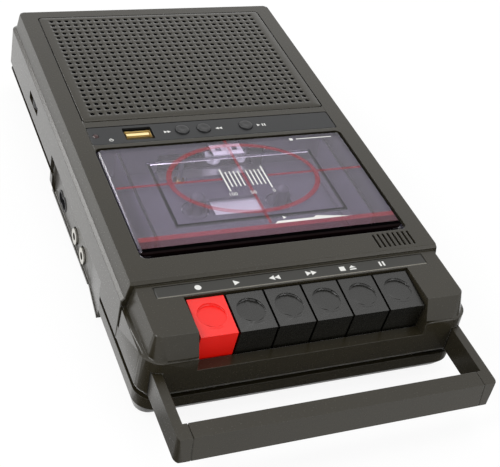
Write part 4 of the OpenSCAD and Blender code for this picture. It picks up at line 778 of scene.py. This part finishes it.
# Electronics: two boards of brown phenolic paper, one on posts of the lower half and one under posts of the
# deck, and a transformer of varnished steel laminations.
board = moulded_plastic("brown_phenolic_board", "#4f3a22", "#5f472b", rough=0.5, grain=1.0, depth=0.03)
painted(board, "main_board", "usb_board")
laminations = worked_metal("varnished_transformer_steel", "#57544f", "#706c66", rough=0.45, lines=0.4,
                           depth=0.02)
painted(laminations, "transformer")

# Battery cover: an ABS plate with the case's grain. It sits in a rebate of the floor, round the opening of
# the battery bay, and pulls straight off.
fitted(moulding("battery_cover"), case_abs, "battery_cover", "case_plastic", "battery_cover")

# Studio: a white table, a white room that stays dim overhead, four soft boxes, and a camera at the photo's
# viewpoint.


def table_white():
    """White for the lens and in reflections, and a plain white table for light and shadow. Round the handle
    the table has a dark grey painted shade for reflections only, and the front faces mirror that. From below
    the table is clear, so that the floor of the recorder can be seen."""
    seen_share, mirror_shade = 0.86, 0.95
    shade_starts, shade_full, shade_fades, shade_ends = -0.09, -0.106, -0.146, -0.158
    made = bpy.data.materials.new("white_table")
    made.use_nodes = True
    tree = made.node_tree
    tree.nodes.remove(tree.nodes["Principled BSDF"])
    rays = add(tree, "ShaderNodeLightPath").outputs
    seen = add(tree, "ShaderNodeMath", {}, {0: rays["Is Camera Ray"], 1: rays["Is Glossy Ray"]},
               operation="ADD")
    seen = add(tree, "ShaderNodeMath", {}, {0: seen.outputs[0], 1: rays["Is Transmission Ray"]},
               operation="ADD", use_clamp=True)
    share = add(tree, "ShaderNodeMath", {1: seen_share}, {0: seen.outputs[0]}, operation="MULTIPLY")
    plain = add(tree, "ShaderNodeBsdfDiffuse", {"Color": linear("#e8e8e8")})
    bright = add(tree, "ShaderNodeEmission", {"Color": (1, 1, 1, 1), "Strength": 1.05})
    mixed = add(tree, "ShaderNodeMixShader", {},
                {0: share.outputs[0], 1: plain.outputs[0], 2: bright.outputs[0]})
    place = add(tree, "ShaderNodeSeparateXYZ", {}, {0: add(tree, "ShaderNodeTexCoord").outputs["Object"]})
    ahead = add(tree, "ShaderNodeMapRange", {"From Min": shade_starts, "From Max": shade_full, "To Min": 0,
                                             "To Max": mirror_shade}, {"Value": place.outputs["Y"]})
    beyond = add(tree, "ShaderNodeMapRange", {"From Min": shade_ends, "From Max": shade_fades, "To Min": 0,
                                              "To Max": 1}, {"Value": place.outputs["Y"]})
    shade = add(tree, "ShaderNodeMath", {}, {0: ahead.outputs["Result"], 1: beyond.outputs["Result"]},
                operation="MULTIPLY")
    mirrored = add(tree, "ShaderNodeMath", {}, {0: rays["Is Glossy Ray"], 1: shade.outputs[0]},
                   operation="MULTIPLY")
    dim = add(tree, "ShaderNodeBsdfDiffuse", {"Color": linear("#181818")})
    shown = add(tree, "ShaderNodeMixShader", {},
                {0: mirrored.outputs[0], 1: mixed.outputs[0], 2: dim.outputs[0]})
    clear = add(tree, "ShaderNodeBsdfTransparent")
    from_below = add(tree, "ShaderNodeNewGeometry").outputs["Backfacing"]
    sided = add(tree, "ShaderNodeMixShader", {}, {0: from_below, 1: shown.outputs[0], 2: clear.outputs[0]})
    tree.links.new(sided.outputs[0], tree.nodes["Material Output"].inputs["Surface"])
    return made


table_half = 4
corners = [(x * table_half, y * table_half, 0) for x, y in ((-1, -1), (1, -1), (1, 1), (-1, 1))]
floor_mesh = bpy.data.meshes.new("table")
floor_mesh.from_pydata(corners, [], [(0, 1, 2, 3)])
floor_mesh.materials.append(table_white())
floor = bpy.data.objects.new("table", floor_mesh)
bpy.context.collection.objects.link(floor)

low_sky, high_sky, low_light, high_light = 0.1, 0.75, 0.9, 0.45
room = bpy.data.worlds.new("white_room")
room.use_nodes = True
tree = room.node_tree
rays = add(tree, "ShaderNodeLightPath").outputs
seen = add(tree, "ShaderNodeMath", {}, {0: rays["Is Camera Ray"], 1: rays["Is Transmission Ray"]},
           operation="ADD")
seen = add(tree, "ShaderNodeMath", {}, {0: seen.outputs[0], 1: rays["Is Glossy Ray"]}, operation="ADD",
           use_clamp=True)
up = add(tree, "ShaderNodeSeparateXYZ", {}, {0: add(tree, "ShaderNodeTexCoord").outputs["Generated"]})
height = add(tree, "ShaderNodeMapRange", {"From Min": low_sky, "From Max": high_sky, "To Min": low_light,
                                          "To Max": high_light}, {"Value": up.outputs["Z"]})
level = add(tree, "ShaderNodeMix", {3: 1.0}, {0: seen.outputs[0], 2: height.outputs["Result"]},
            data_type="FLOAT")
tree.links.new(level.outputs[0], tree.nodes["Background"].inputs["Strength"])
tree.nodes["Background"].inputs["Color"].default_value = (1, 1, 1, 1)
bpy.context.scene.world = room


def soft_box(name, place, size, power):
    """A rectangular lamp that faces the recorder. Place and size are in metres, and the power is in watts."""
    aim = Vector((0, 0, 0.03))
    lamp = bpy.data.lights.new(name, "AREA")
    lamp.shape = "RECTANGLE"
    lamp.size, lamp.size_y = size
    lamp.energy = power
    holder = bpy.data.objects.new(name, lamp)
    holder.location = place
    holder.rotation_euler = (aim - Vector(place)).to_track_quat("-Z", "Y").to_euler()
    bpy.context.collection.objects.link(holder)


soft_box("left_soft_box", (-0.95, -0.1, 0.95), (0.4, 0.4), 5)
soft_box("rear_soft_box", (-1.0, 1.0, 0.45), (0.5, 0.35), 4)
soft_box("top_soft_box", (0.2, 0.3, 1.5), (0.8, 0.8), 4)
soft_box("front_soft_box", (0.7, -1.3, 0.7), (0.8, 0.8), 5)

lens = bpy.data.cameras.new("camera")
lens.lens = 79.8526
lens.sensor_width = 36
lens.clip_start = 0.01
camera = bpy.data.objects.new("camera", lens)
camera.location = (-0.19317460, -0.37805425, 0.34962454)
camera.rotation_euler = [math.radians(a) for a in (50.22561529, -10.03103141, -20.89403242)]
bpy.context.collection.objects.link(camera)
bpy.context.scene.camera = camera
bpy.context.scene.view_settings.view_transform = "Standard"
